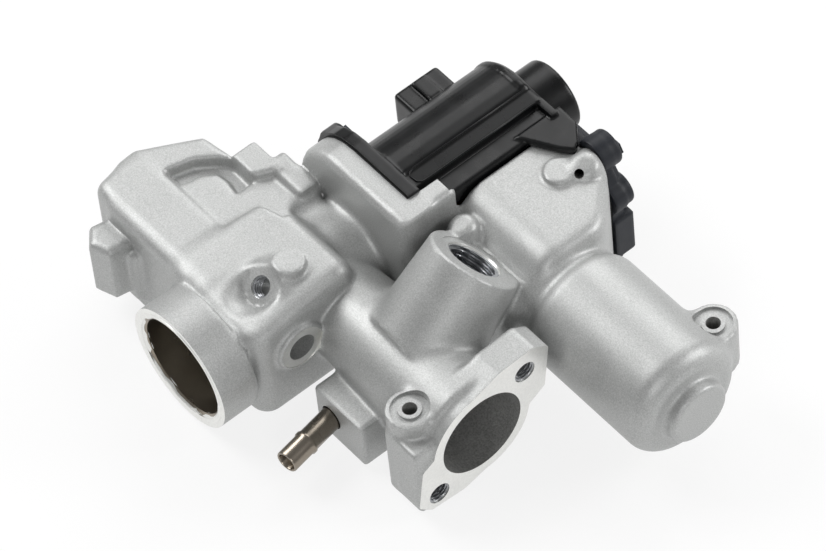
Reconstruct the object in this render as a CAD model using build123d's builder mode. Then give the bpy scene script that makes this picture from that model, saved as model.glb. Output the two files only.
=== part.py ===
from build123d import *
import os
from math import acos, atan, cos, degrees, pi, radians, sin, sqrt, tan

# EGR valve, millimetres.  X runs out of the gas inlet flange, Y runs up the valve stem
# away from the outlet port, Z is the die-draw direction of the casting.
# The origin is the centre of the gas inlet bore on its flange face.

# ---- gas passages -------------------------------------------------------------
inlet_bore_r = 16.0          # bore in the inlet flange
inlet_bore_straight = 14.0
throat_r = 14.0              # channel radius where it reaches the valve chamber
channel_outer_r = 20.5       # cast tube round the channel
valve_x = -85.5              # valve stem line, in X
outlet_face_y = -55.0        # face of the outlet port
outlet_bore_r = 18.25
outlet_tube_r = 22.75
sleeve_wall = 1.25           # steel sleeve staked in the outlet
sleeve_length = 14.0
sleeve_inset = 0.6           # sleeve end below the port face

# ---- inlet flange -------------------------------------------------------------
flange_thickness = 11.5
flange_rim_r = 18.3
flange_bolt_pcd = 48.4       # bolt circle of the two M8 threads
flange_bolt_angle = 38.5     # of the first bolt, from Y towards Z
flange_bolt_r = 3.4          # M8 minor radius
flange_bolt_depth = 20.0
lug_r = 8.0
lug_hole_r = 2.5
lug_recess_r = 6.5
lug_recess_depth = 0.5
lug_top_z = 15.0
inlet_lug = (-14.0, -17.0)
barrel_lug = (26.0, 75.5)

# ---- casting ------------------------------------------------------------------
base_z = -24.0               # lowest machined feet of the casting
body_x0, body_x1 = -108.0, -64.0
body_y0, body_y1 = -39.0, 4.0
body_top_z = 24.0
body_round = 11.0            # rounding along the top of the valve body
edge_round = 2.0             # common cast edge
neck_r = 17.5
block_y0 = 18.0              # end face of the actuator block
block_face_y = 26.7          # machined face that carries the actuator cover
block_top_z = 36.0
block_x1 = -57.5
block_corner_r = 5.0
arch_r = 20.0
arch_x, arch_z = -92.0, 16.0 # centre of the arch at the block's far end
plug_x = -36.0               # threaded plug port on the channel
plug_face = 42.0             # from the channel axis to the port face
plug_r = 15.6
plug_root_r = 18.5
plug_thread_r = 8.2          # M18 x 1.5 minor radius
plug_spot_r = 10.2
plug_way_r = 12.0            # way kept open for the plug's head and its wrench
case_slope = 17.5            # the case's sloped top corner lies where Y - Z is this
case_slope_wall = 2.45

# ---- motor barrel and gear case ---------------------------------------------
motor_y, motor_z = 53.0, 5.5
barrel_r = 21.5
barrel_x0, barrel_x1 = -19.0, 40.0
barrel_round = 7.0
end_boss_r = 11.5
end_boss_x = 45.0
case_x0 = -59.0
case_y0, case_y1 = 25.0, 84.0
case_top_z = 30.0
case_wall = 3.5
case_round = 9.0

# ---- gear train ---------------------------------------------------------------
pressure_angle = 25.0
gear_module = 0.6
pinion_teeth = 12
wheel_teeth = 36
rack_module = 0.9
rack_pinion_teeth = 10
tooth_thinning = 0.05        # taken off each tooth at the pitch line
mesh_extra = 0.04            # added to each centre distance
gear_face = 5.0
idler_angle = -63.0          # from the motor axis to the idler, from Y towards Z
stroke = 8.0                 # valve travel
running = 0.03               # radial clearance of a shaft in its bush
seat = 0.02                  # clearance between two faces that touch

# ---- valve ----------------------------------------------------------------------
stem_r = 3.5
seat_pocket_r = 15.8         # passage just below the seat ring
seat_pocket_length = 17.0
head_r = 13.2
head_thickness = 3.0
seat_y = -21.0               # sealing face of the seat ring
seat_ring_r = 15.5
seat_ring_bore_r = 12.0
seat_ring_height = 5.0
seat_gap = 0.1               # closed valve head to seat ring
guide_r = 7.5
guide_y0, guide_y1 = 6.0, 22.0
floor_y = 24.0               # floor of the spring pocket in the block
seal_height = 4.0

side_port_depth = 5.4
ear_depth = 9.0
case_pad_at, case_pad_r, case_pad_height = (-46.0, 74.0), 5.0, 2.0
case_post_at, case_post_r, case_post_top = (-47.7, 39.0), 6.0, 29.0
case_ridge_at, case_ridge_r, case_ridge_y0 = (-41.0, 27.5), 5.5, 70.0

# ---- gear train, places along the motor axis -------------------------------------
case_floor_x = -22.5         # inner face of the case wall that carries the motor
motor_bore_r = 18.0
motor_bore_end = 34.0
end_plate_thickness = 2.0
pinion_x0, pinion_x1 = -34.0, -27.0
idler_wheel_x0 = -33.5
idler_pinion_x0 = -43.5
output_wheel_x0 = -42.5
gear_plate_x0, gear_plate_x1 = -50.0, -46.0
arm_x0, arm_x1 = -74.5, -69.5
arm_half_width = 7.0
shaft_r = 3.0
bush_r = 5.0
motor_shaft_r = 1.5
plate_ledges = [(66.2, 23.0), (39.8, -12.0), (72.0, -16.3)]
ledge_r = 3.1
axle_r = 1.5
rack_pinion_half = 4.0       # half length of the pinion on the rack
rack_half = 3.6              # half width of the rack
rack_y0, rack_y1 = 47.0, 72.0

# ---- covers -------------------------------------------------------------------------
gasket_thickness = 0.5
flange_y1 = 32.0             # far face of the actuator cover's flange
flange_proud = 1.5
cover_flange_x1 = -65.0
cover_wall = 2.0
drum_r = 21.5
drum_x, drum_z = -79.0, 15.5
drum_y1 = 86.0
skirt_y0 = 36.3
skirt_x1 = -59.3
round_cap_r = 13.0
round_cap_y1 = 100.0
connector_x0 = -109.0        # mouth of the plug socket
connector_y, connector_z = 66.0, 15.5
connector_w, connector_h = 18.0, 15.0
terminal_count, terminal_pitch = 5, 2.8
magnet_z = -2.6
side_pocket = 4.5
side_cover_points = [
    (-59.0, -23.5),
    (-38.0, -23.5),
    (-34.5, -10.0),
    (-33.5, 12.0),
    (-36.5, 24.0),
    (-42.0, 30.0),
    (-45.5, 29.5),
    (-59.0, 29.5),
]
side_pocket_points = [
    (-57.0, -12.0),
    (-47.0, -12.0),
    (-41.5, -11.0),
    (-38.8, 8.0),
    (-40.0, 20.0),
    (-47.5, 22.0),
    (-57.0, 26.0),
]
connector_wall = 1.6
side_cover_y1 = 91.0
side_cover_x1 = -34.0

thread_pilot_r = 2.1         # M5 minor radius
screw_r = 2.0
screw_head_r = 3.4
screw_head_height = 3.0


# ---- water box beside the valve body --------------------------------------------
box_top_z = 20.0
box_ridge_r = 15.0
box_corner = (-135.0, -40.0)
box_corner_r = 8.0
box_corner_top_z = 5.0
side_port = (-21.0, 2.0)     # Y and Z of the drain port on the valve body's side
side_port_face_x = -63.0
side_port_r = 10.0
side_port_hole_r = 5.4
pad_r = 5.25
pad_at = (-80.0, -11.0)
ear_at = (-79.5, -23.7, 21.1)
ear_r = 7.0
ear_hole_r = 3.4
ear_slope = 45.0             # tilt of the ear's axis from -Y towards Z
ear_way = 12.0               # length of the spot facer's way out of the ear
front_slope_y, front_slope_drop = -16.0, 4.5   # start and fall of the body's top towards the outlet
plateau_height = 0.8
plateau_points = [           # raised plateau on the valve body, seen from above
    (-62.5, 6.5),
    (-95.7, 6.5),
    (-100.3, 2.0),
    (-102.0, -5.9),
    (-98.8, -16.2),
    (-96.9, -17.7),
    (-86.5, -18.3),
    (-80.0, -12.0),
    (-62.5, -1.4),
]
groove_depth = 3.0
groove_points = [            # groove round the flap on the water box, seen from above
    (-137.5, -15.0),
    (-133.0, -6.0),
    (-127.9, 0.0),
    (-118.9, 2.1),
    (-112.0, 1.0),
    (-114.0, -4.4),
    (-120.5, -2.7),
    (-125.6, -3.4),
    (-129.0, -7.2),
    (-130.2, -15.2),
]

# ---- coolant pipe -----------------------------------------------------------------
pipe_block = (-52.0, -28.0, -27.0, -2.0, -22.0)   # x0, x1, y0, z1, z0
pipe_root = (-44.0, -27.0, -11.0)
pipe_turn = 10.0             # from -Y towards +X
pipe_r = 4.4
pipe_bore_r = 3.2
pipe_length = 25.0

centre_distance = gear_module * (pinion_teeth + wheel_teeth) / 2 + mesh_extra
idler_y = motor_y + centre_distance * cos(radians(idler_angle))
idler_z = motor_z + centre_distance * sin(radians(idler_angle))
rack_pitch_r = rack_module * rack_pinion_teeth / 2
rack_pitch_z = motor_z - rack_pitch_r - mesh_extra
bolt_y = flange_bolt_pcd / 2 * cos(radians(flange_bolt_angle))
bolt_z = flange_bolt_pcd / 2 * sin(radians(flange_bolt_angle))

os.makedirs("parts", exist_ok=True)


def at_x(x):
    """Sketch plane across X at x; its own axes are Y and Z, and it grows towards +X."""
    return Plane.YZ.offset(x)


def at_y(y):
    """Sketch plane across Y at y; its own axes are X and Z, and it grows towards -Y."""
    return Plane.XZ.offset(-y)


def at_z(z):
    """Sketch plane across Z at z; its own axes are X and Y, and it grows towards +Z."""
    return Plane.XY.offset(z)


def finish(piece, name):
    """Label a finished piece and write it to its own file."""
    piece.part.label = name
    export_step(piece.part, f"parts/{name}.step")


def involute_point(base_r, r, half_angle):
    """Point at radius r of the flank that leaves the base circle at half_angle."""
    roll = acos(min(1.0, base_r / r))
    angle = half_angle - (tan(roll) - roll)
    return (r * cos(angle), r * sin(angle))


def tooth_points(module, teeth):
    """One gear tooth on the +X axis, root to root, as a closed list of points."""
    pitch_r = module * teeth / 2
    base_r = pitch_r * cos(radians(pressure_angle))
    tip_r = pitch_r + 0.9 * module
    root_r = pitch_r - 1.2 * module
    roll = radians(pressure_angle)
    half = (pi * module / 2 - tooth_thinning) / (2 * pitch_r) + tan(roll) - roll
    start_r = max(base_r, root_r)
    steps = [start_r + (tip_r - start_r) * k / 3 for k in range(4)]
    upper = [involute_point(base_r, r, half) for r in steps]
    root = (root_r * 0.98 * cos(half), root_r * 0.98 * sin(half))
    side = [root] + upper
    return side + [(x, -y) for x, y in reversed(side)]


def gear_sketch(plane, module, teeth, first_angle, bore_r):
    """Toothed wheel with its first tooth at first_angle, in degrees, round the plane's origin."""
    root_r = module * teeth / 2 - 1.2 * module
    with BuildSketch(plane) as wheel:
        Circle(root_r)
        with PolarLocations(0, teeth, start_angle=first_angle):
            Polygon(*tooth_points(module, teeth), align=None)
        if bore_r > 0:
            Circle(bore_r, mode=Mode.SUBTRACT)
    return wheel.sketch


channel_taper = degrees(atan((inlet_bore_r - throat_r) / (-valve_x - inlet_bore_straight)))
cover_screws_at = [(-105.5, 25.5), (-105.5, -6.0), (-70.5, -18.0)]
side_screws_at = [(-41.0, 27.5), (-40.5, -18.5), (-54.5, -19.0)]
side_boss_r = 4.5
side_boss_length = 8.0
pocket_centre = (-82.25, 9.0)
pocket_size = (32.5, 42.0)
pocket_round = 9.0
case_floor_z, case_roof_z = -19.8, 26.2
cup_bottom_z = -13.0
cup_round = 2.5
cup_edge = [                 # the cup's top edge from the drum down to the gear case
    (drum_x + 6.0, drum_z + drum_r - 0.8),
    (drum_x + 11.4, drum_z + drum_r - 2.0),
    (drum_x + 11.7, drum_z + drum_r - 4.0),
    (drum_x + 14.4, drum_z + drum_r - 4.6),
    (drum_x + 14.4, drum_z + drum_r - 5.6),
]
retainer_y1 = rack_y0 - 0.5
spring_r = 9.0
spring_wire_r = 1.0
spring_turns = 6
spring_bottom = floor_y + 0.3
spring_top = retainer_y1 - 1.6 - 0.3
rack_half_tooth = pi * rack_module / 4 - tooth_thinning / 2
rack_slope = tan(radians(pressure_angle))
rack_tooth = [
    (-rack_half_tooth - 1.25 * rack_module * rack_slope, -1.25 * rack_module),
    (rack_half_tooth + 1.25 * rack_module * rack_slope, -1.25 * rack_module),
    (rack_half_tooth - 0.9 * rack_module * rack_slope, 0.9 * rack_module),
    (-rack_half_tooth + 0.9 * rack_module * rack_slope, 0.9 * rack_module),
]
rack_first, rack_last = -2, 5
pipe_line = Plane(
    origin=pipe_root, x_dir=(0, 0, 1),
    z_dir=(sin(radians(pipe_turn)), -cos(radians(pipe_turn)), 0),
)


# ---- casting --------------------------------------------------------------------
lobe_points = [
    (12.0, -6.0),
    (25.4, 2.0),
    (28.0, 19.5),
    (22.8, 23.2),
    (9.0, 22.6),
    (-6.0, 17.0),
]


arch_points = [
    (block_x1, base_z),
    (block_x1, block_top_z),
    (arch_x, block_top_z),
    (arch_x - arch_r * sin(radians(45)), arch_z + arch_r * cos(radians(45))),
    (arch_x - arch_r, arch_z),
    (arch_x - arch_r, arch_z - 22),
    (arch_x - arch_r + 16, base_z),
]


def arch_sketch(y, right_x, grow):
    """Arched outline of the actuator block across Y, its straight side at right_x, grown by grow."""
    p = arch_points
    with BuildSketch(at_y(y)) as outline:
        with BuildLine():
            Polyline((right_x, p[0][1]), (right_x, p[1][1]), p[2])
            ThreePointArc(p[2], p[3], p[4])
            Polyline(p[4], p[5], p[6], (right_x, p[0][1]))
        make_face()
        if grow != 0:
            offset(amount=grow, kind=Kind.INTERSECTION)
    return outline.sketch


# water box: the end profile carried along X, then trimmed to its outline seen from above
box_plan = [
    (body_x0 + 6, -37),
    (-140, -38),
    (-150, -31),
    (-153, -18),
    (-141, 2),
    (-128, 4),
    (-127, 11),
    (-116, 11),
    (-116, 14),
    (body_x0 + 6, 14),
]
with BuildPart() as water_box:
    with BuildSketch(at_z(base_z)) as plan:
        with BuildLine():
            Polyline(*box_plan, close=True)
        make_face()
        fillet(plan.vertices().group_by(Axis.X)[0], 4)
    extrude(amount=box_top_z - base_z)
    with BuildSketch(at_x(-160)) as ridge:
        with BuildLine():
            Polyline((-38 + box_ridge_r, box_top_z), (20, box_top_z), (20, base_z), (-38, base_z),
                     (-38, box_top_z - box_ridge_r))
            RadiusArc((-38, box_top_z - box_ridge_r), (-38 + box_ridge_r, box_top_z), box_ridge_r)
        make_face()
    extrude(amount=70, mode=Mode.INTERSECT)

with BuildPart() as motor_case:
    # gear case: rounded end profile carried along X, its far corner cut back at the side cover
    with BuildSketch(at_x(case_x0)) as case_end:
        with Locations(((case_y0 + case_y1) / 2, (base_z + case_top_z) / 2)):
            Rectangle(case_y1 - case_y0, case_top_z - base_z)
        fillet(case_end.vertices().filter_by(lambda v: v.X < 0 and v.Y > 0), 16)
        fillet(case_end.vertices().filter_by(lambda v: v.X < 0 and v.Y < 0), 8)
    extrude(amount=barrel_x0 - case_x0)
    with BuildSketch(at_x(case_x0)):
        Polygon(
            (case_y0 - 1, case_y0 - 1 - case_slope), (case_top_z + 1 + case_slope, case_top_z + 1),
            (case_y0 - 1, case_top_z + 1), align=None,
        )
    extrude(amount=barrel_x0 - case_x0, mode=Mode.SUBTRACT)
    with BuildSketch(at_z(base_z)) as corner_cut:
        Polygon((barrel_x0, 74.5), (-34, case_y1), (barrel_x0, case_y1), align=None)
    extrude(amount=case_top_z - base_z, mode=Mode.SUBTRACT)
    fillet(motor_case.faces().sort_by(Axis.X)[-1].edges(), case_round)
    with BuildSketch(at_x(barrel_x0 - 6)):
        with Locations((motor_y, motor_z)):
            Circle(barrel_r)
    extrude(amount=barrel_x1 - barrel_x0 + 6)
    fillet(motor_case.faces().sort_by(Axis.X)[-1].edges(), barrel_round)
    with BuildSketch(at_x(barrel_x1 - 3)):
        with Locations((motor_y, motor_z)):
            Circle(end_boss_r)
    extrude(amount=end_boss_x - barrel_x1 + 3)
    fillet(motor_case.faces().sort_by(Axis.X)[-1].edges(), 1.5)

with BuildPart() as actuator_block:
    extrude(arch_sketch(block_face_y, block_x1, 0), amount=block_face_y - block_y0)
    fillet(actuator_block.edges().filter_by(Axis.Y).sort_by(Axis.X)[-1:], block_corner_r)
    fillet(actuator_block.faces().sort_by(Axis.Y)[0].edges(), edge_round)

with BuildPart() as housing:
    # valve body with its rounded back
    with BuildSketch(at_y(body_y1)) as body_end:
        with Locations(((body_x0 + body_x1) / 2, (base_z + body_top_z) / 2)):
            Rectangle(body_x1 - body_x0, body_top_z - base_z)
        fillet(body_end.vertices().group_by(Axis.Y)[-1], body_round)
        fillet(body_end.vertices().group_by(Axis.Y)[0], 4)
    extrude(amount=body_y1 - body_y0)
    fillet(housing.faces().sort_by(Axis.Y)[0].edges(), 5)
    # its top falls towards the outlet, in front of a low plateau
    with BuildSketch(at_x(body_x0)):
        Polygon(
            (front_slope_y, body_top_z), (body_y0, body_top_z - front_slope_drop),
            (body_y0, body_top_z + 1), (front_slope_y, body_top_z + 1), align=None,
        )
    extrude(amount=body_x1 - body_x0, mode=Mode.SUBTRACT)
    with BuildSketch(at_z(body_top_z - 4)):
        Polygon(*plateau_points, align=None)
    extrude(amount=4 + plateau_height)

    # outlet tube and the neck to the actuator block, both on the stem line
    with BuildSketch(at_y(body_y0 + 12)):
        with Locations((valve_x, 0)):
            Circle(outlet_tube_r)
    extrude(amount=body_y0 + 12 - outlet_face_y)
    with BuildSketch(at_y(body_y1 - 8)):
        with Locations((valve_x, 0)):
            Circle(neck_r)
    extrude(amount=-(block_y0 + 2 - body_y1 + 8))

    # gas channel and its flange
    with BuildSketch(at_x(body_x1 - 10)):
        Circle(channel_outer_r)
    extrude(amount=-body_x1 + 10 - flange_thickness / 2)
    with BuildSketch(at_x(-flange_thickness)) as flange_plate:
        Circle(flange_rim_r)
        for turn in (0, 180):
            with Locations(Location((0, 0, 0), (0, 0, turn))):
                Polygon(*lobe_points, align=None)
        fillet(flange_plate.vertices().filter_by(lambda v: v.distance_to(Vertex(0, 0, 0)) > 24), 3)
    extrude(amount=flange_thickness)

    # block, its step towards the gear case, gear case with motor barrel, water box
    add(actuator_block.part)
    with BuildSketch(at_y(36)):
        with Locations(((block_x1 - 65) / 2, (base_z + block_top_z) / 2)):
            Rectangle(65 + block_x1, block_top_z - base_z)
    extrude(amount=36 - block_face_y)
    add(motor_case.part)
    add(water_box.part)

    # bosses
    with BuildSketch(at_z(base_z + 4)):
        with Locations(inlet_lug):
            Circle(lug_r)
    extrude(amount=lug_top_z - base_z - 4)
    with BuildSketch(at_z(base_z + 4)):
        with Locations((-8.5, -17)):
            Rectangle(17, 18)
    extrude(amount=29)
    with BuildSketch(at_z(-4)):
        with Locations(barrel_lug):
            Circle(lug_r)
    extrude(amount=lug_top_z + 4)
    plug_axis = Plane(origin=(plug_x, 0, 0), x_dir=(1, 0, 0), z_dir=(0, 1, 1))
    with BuildSketch(plug_axis.offset(12)):
        Circle(plug_root_r)
    with BuildSketch(plug_axis.offset(plug_face)):
        Circle(plug_r)
    loft()
    with BuildSketch(at_x(body_x1 - 8)):
        with Locations(side_port):
            Circle(side_port_r)
    extrude(amount=side_port_face_x - body_x1 + 8)
    with BuildSketch(at_z(body_top_z - 2)):
        with Locations(pad_at):
            Circle(pad_r)
    extrude(amount=2.6 + plateau_height)
    ear_axis = Plane(
        origin=ear_at, x_dir=(1, 0, 0),
        z_dir=(0, -cos(radians(ear_slope)), sin(radians(ear_slope))),
    )
    with BuildSketch(ear_axis.offset(-8)):
        Circle(ear_r)
    extrude(amount=8)
    with BuildSketch(ear_axis):
        Circle(ear_r)
    extrude(amount=ear_way, mode=Mode.SUBTRACT)
    with BuildSketch(at_z(base_z + 4)):
        with Locations(box_corner):
            RegularPolygon(box_corner_r, 6)
    extrude(amount=box_corner_top_z - base_z - 4)
    with BuildSketch(at_z(pipe_block[4])):
        with Locations(((pipe_block[0] + pipe_block[1]) / 2, (pipe_block[2] - 8) / 2)):
            Rectangle(pipe_block[1] - pipe_block[0], -8 - pipe_block[2])
    extrude(amount=pipe_block[3] - pipe_block[4])

    # pad, corner post and screw ridge on the gear case
    with BuildSketch(at_z(case_top_z - 2)):
        with Locations(case_pad_at):
            Circle(case_pad_r)
    extrude(amount=2 + case_pad_height)
    with BuildSketch(at_z(-5)):
        with Locations(case_post_at):
            Circle(case_post_r)
    extrude(amount=case_post_top + 5)
    with BuildSketch(at_y(case_y1)):
        with Locations(case_ridge_at):
            Circle(case_ridge_r)
    extrude(amount=case_y1 - case_ridge_y0)
    # groove on the water box, and the plug's way out past the gear case
    with BuildSketch(at_z(box_top_z - groove_depth)):
        Polygon(*groove_points, align=None)
    extrude(amount=groove_depth, mode=Mode.SUBTRACT)
    with BuildSketch(plug_axis.offset(plug_face)):
        Circle(plug_way_r)
    extrude(amount=plug_face, mode=Mode.SUBTRACT)

    # cavity of the actuator block and gear case, and the bearing arm left standing in it
    with BuildSketch(at_y(block_face_y)) as spring_pocket:
        with Locations(pocket_centre):
            Rectangle(*pocket_size)
        fillet(spring_pocket.vertices(), pocket_round)
    extrude(amount=block_face_y - floor_y, mode=Mode.SUBTRACT)
    with BuildSketch(at_z(case_floor_z)) as case_mouth:
        Polygon(
            (case_x0, 36.5), (-56.5, 36.5), (-56.5, 33.8), (case_floor_x, 33.8), (case_floor_x, 72.5),
            (-40.6, case_y1), (case_x0, case_y1), align=None,
        )
    extrude(amount=case_roof_z - case_floor_z, mode=Mode.SUBTRACT)
    # the wall under the case's sloped corner is put back
    inner_slope = case_slope + case_slope_wall * sqrt(2)
    with BuildSketch(at_x(case_x0)):
        Polygon(
            (33.8, 33.8 - inner_slope), (case_roof_z + inner_slope, case_roof_z),
            (case_roof_z + case_slope, case_roof_z), (33.8, 33.8 - case_slope), align=None,
        )
    extrude(amount=case_floor_x - case_x0)
    for boss in side_screws_at:
        with BuildSketch(at_y(case_y1)):
            with Locations(boss):
                Circle(side_boss_r)
        extrude(amount=side_boss_length)
    with BuildSketch(at_x(case_floor_x)):
        with Locations((motor_y, motor_z)):
            Circle(motor_bore_r)
    extrude(amount=motor_bore_end - case_floor_x, mode=Mode.SUBTRACT)
    with BuildSketch(at_x(arm_x0)) as arm:
        with Locations((motor_y, motor_z)):
            Circle(arm_half_width)
        with Locations(((floor_y + motor_y) / 2, motor_z)):
            Rectangle(motor_y - floor_y, 2 * arm_half_width)
        with Locations((motor_y, motor_z)):
            Circle(bush_r, mode=Mode.SUBTRACT)
    extrude(amount=arm_x1 - arm_x0)
    # ledges that carry the gear plate
    with BuildSketch(at_x(gear_plate_x1)):
        with Locations(*plate_ledges):
            Circle(ledge_r)
    extrude(amount=case_floor_x - gear_plate_x1)

    # gas passages
    with BuildSketch(at_x(0)):
        Circle(inlet_bore_r)
    extrude(amount=-inlet_bore_straight, mode=Mode.SUBTRACT)
    with BuildSketch(at_x(-inlet_bore_straight)):
        Circle(inlet_bore_r)
    extrude(amount=valve_x + inlet_bore_straight, taper=channel_taper, mode=Mode.SUBTRACT)
    with BuildSketch(at_y(8)):
        with Locations((valve_x, 0)):
            Circle(throat_r)
    extrude(amount=8 - (seat_y + seat_ring_height) + 1, mode=Mode.SUBTRACT)
    with BuildSketch(at_y(seat_y + seat_ring_height)):
        with Locations((valve_x, 0)):
            Circle(seat_ring_r)
    extrude(amount=seat_ring_height, mode=Mode.SUBTRACT)
    with BuildSketch(at_y(seat_y)):
        with Locations((valve_x, 0)):
            Circle(seat_pocket_r)
    extrude(amount=seat_pocket_length, mode=Mode.SUBTRACT)
    with BuildSketch(at_y(seat_y - seat_pocket_length + 0.1)):
        with Locations((valve_x, 0)):
            Circle(outlet_bore_r)
    extrude(amount=30, mode=Mode.SUBTRACT)
    with BuildSketch(at_y(outlet_face_y + sleeve_inset + sleeve_length)):
        with Locations((valve_x, 0)):
            Circle(outlet_bore_r + sleeve_wall)
    extrude(amount=sleeve_length + 5, mode=Mode.SUBTRACT)
    with BuildSketch(at_y(floor_y + 1)):
        with Locations((valve_x, 0)):
            Circle(guide_r)
    extrude(amount=floor_y - 5, mode=Mode.SUBTRACT)

    # threaded and plain holes
    with BuildSketch(at_x(0)):
        for side in (1, -1):
            with Locations((side * bolt_y, side * bolt_z)):
                Circle(flange_bolt_r)
    extrude(amount=-flange_bolt_depth, mode=Mode.SUBTRACT)
    for lug in (inlet_lug, barrel_lug):
        with BuildSketch(at_z(lug_top_z)):
            with Locations(lug):
                Circle(lug_hole_r)
        extrude(amount=-16, mode=Mode.SUBTRACT)
        with BuildSketch(at_z(lug_top_z)):
            with Locations(lug):
                Circle(lug_recess_r)
                Circle(lug_hole_r + 1.5, mode=Mode.SUBTRACT)
        extrude(amount=-lug_recess_depth, mode=Mode.SUBTRACT)
    with BuildSketch(plug_axis.offset(plug_face)):
        Circle(plug_thread_r)
    extrude(amount=-plug_face + 8, mode=Mode.SUBTRACT)
    with BuildSketch(plug_axis.offset(plug_face)):
        Circle(plug_spot_r)
    extrude(amount=-0.6, mode=Mode.SUBTRACT)
    with BuildSketch(at_x(side_port_face_x)):
        with Locations(side_port):
            Circle(side_port_hole_r)
    extrude(amount=-side_port_depth, mode=Mode.SUBTRACT)
    with BuildSketch(ear_axis.offset(4)):
        Circle(ear_hole_r)
    extrude(amount=-ear_depth, mode=Mode.SUBTRACT)
    with BuildSketch(pipe_line.offset(1)):
        Circle(pipe_r)
    extrude(amount=-9, mode=Mode.SUBTRACT)
    # screw holes of the gear plate, actuator cover and side cover
    with BuildSketch(at_x(gear_plate_x1)):
        with Locations(*plate_ledges):
            Circle(thread_pilot_r)
    extrude(amount=10, mode=Mode.SUBTRACT)
    with BuildSketch(at_y(block_face_y)):
        with Locations(*cover_screws_at):
            Circle(thread_pilot_r)
    extrude(amount=8, mode=Mode.SUBTRACT)
    with BuildSketch(at_y(case_y1)):
        with Locations(*side_screws_at):
            Circle(thread_pilot_r)
    extrude(amount=side_boss_length - 1.5, mode=Mode.SUBTRACT)
finish(housing, "housing")


# ---- gas side pieces --------------------------------------------------------------
with BuildPart() as outlet_sleeve:
    with BuildSketch(at_y(outlet_face_y + sleeve_inset + sleeve_length)):
        with Locations((valve_x, 0)):
            Circle(outlet_bore_r + sleeve_wall)
            Circle(outlet_bore_r, mode=Mode.SUBTRACT)
    extrude(amount=sleeve_length)
    chamfer(outlet_sleeve.faces().sort_by(Axis.Y)[0].edges().sort_by(SortBy.RADIUS)[0], 0.6)
finish(outlet_sleeve, "outlet_sleeve")

with BuildPart() as seat_ring:
    with BuildSketch(at_y(seat_y + seat_ring_height)):
        with Locations((valve_x, 0)):
            Circle(seat_ring_r)
            Circle(seat_ring_bore_r, mode=Mode.SUBTRACT)
    extrude(amount=seat_ring_height)
finish(seat_ring, "seat_ring")

with BuildPart() as stem_guide:
    with BuildSketch(at_y(guide_y1 - seat)):
        with Locations((valve_x, 0)):
            Circle(guide_r)
            Circle(stem_r + running, mode=Mode.SUBTRACT)
    extrude(amount=guide_y1 - seat - guide_y0)
    chamfer(stem_guide.faces().sort_by(Axis.Y)[0].edges().sort_by(SortBy.RADIUS)[-1], 1.5)
finish(stem_guide, "stem_guide")

with BuildPart() as stem_seal:
    with BuildSketch(at_y(guide_y1 + seal_height)):
        with Locations((valve_x, 0)):
            Circle(guide_r - 0.5)
            Circle(stem_r + running, mode=Mode.SUBTRACT)
    extrude(amount=seal_height - seat)
    chamfer(stem_seal.faces().sort_by(Axis.Y)[-1].edges().sort_by(SortBy.RADIUS)[-1], 1.2)
finish(stem_seal, "stem_seal")

with BuildPart() as poppet_valve:
    with BuildSketch(at_y(seat_y - seat_gap)):
        with Locations((valve_x, 0)):
            Circle(head_r)
    extrude(amount=head_thickness)
    chamfer(poppet_valve.faces().sort_by(Axis.Y)[0].edges(), 0.8)
    with BuildSketch(at_y(rack_y0)):
        with Locations((valve_x, 0)):
            Circle(stem_r)
    extrude(amount=rack_y0 - (seat_y - seat_gap))
    fillet(
        poppet_valve.edges().filter_by(GeomType.CIRCLE).filter_by(
            lambda e: abs(e.radius - stem_r) < 0.01 and e.center().Y < 0
        ),
        3.0,
    )
finish(poppet_valve, "poppet_valve")

with BuildPart() as rack:
    # plain bar below the root line, with the teeth standing on it
    with BuildSketch(Plane.YZ.offset(valve_x - rack_half)):
        bar_top = rack_pitch_z - 1.2 * rack_module
        with Locations(((rack_y0 + rack_y1) / 2, (bar_top - 5) / 2)):
            Rectangle(rack_y1 - rack_y0, bar_top + 5)
        for k in range(rack_first, rack_last + 1):
            with Locations((motor_y + (k + 0.5) * pi * rack_module, rack_pitch_z)):
                Polygon(*rack_tooth, align=None)
    extrude(amount=2 * rack_half)
finish(rack, "rack")

with BuildPart() as spring_retainer:
    with BuildSketch(at_y(retainer_y1)):
        with Locations((valve_x, 0)):
            Circle(spring_r + 1.2)
            Circle(stem_r, mode=Mode.SUBTRACT)
    extrude(amount=1.6)
    with BuildSketch(at_y(retainer_y1 - 1.6)):
        with Locations((valve_x, 0)):
            Circle(spring_r - 1.6)
            Circle(stem_r, mode=Mode.SUBTRACT)
    extrude(amount=2.4)
finish(spring_retainer, "spring_retainer")

with BuildPart() as return_spring:
    # the coil's outer form: a wire helix closed at both ends
    with BuildLine() as coil:
        Helix(
            pitch=(spring_top - spring_bottom - 2 * spring_wire_r) / spring_turns,
            height=spring_top - spring_bottom - 2 * spring_wire_r,
            radius=spring_r,
            center=(valve_x, spring_bottom + spring_wire_r, 0),
            direction=(0, 1, 0),
        )
    with BuildSketch(Plane(origin=coil.line @ 0, z_dir=coil.line % 0)):
        RegularPolygon(spring_wire_r, 6)
    sweep(is_frenet=True)
finish(return_spring, "return_spring")


# ---- gear train ---------------------------------------------------------------------
with BuildPart() as motor_can:
    with BuildSketch(at_x(case_floor_x + seat)):
        with Locations((motor_y, motor_z)):
            Circle(motor_bore_r - seat)
            Circle(motor_bore_r - 1.5, mode=Mode.SUBTRACT)
    extrude(amount=motor_bore_end - case_floor_x - 4)
    with BuildSketch(at_x(motor_bore_end - 4)):
        with Locations((motor_y, motor_z)):
            Circle(motor_bore_r - seat)
            Circle(4, mode=Mode.SUBTRACT)
    extrude(amount=1.5)
finish(motor_can, "motor_can")

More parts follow.
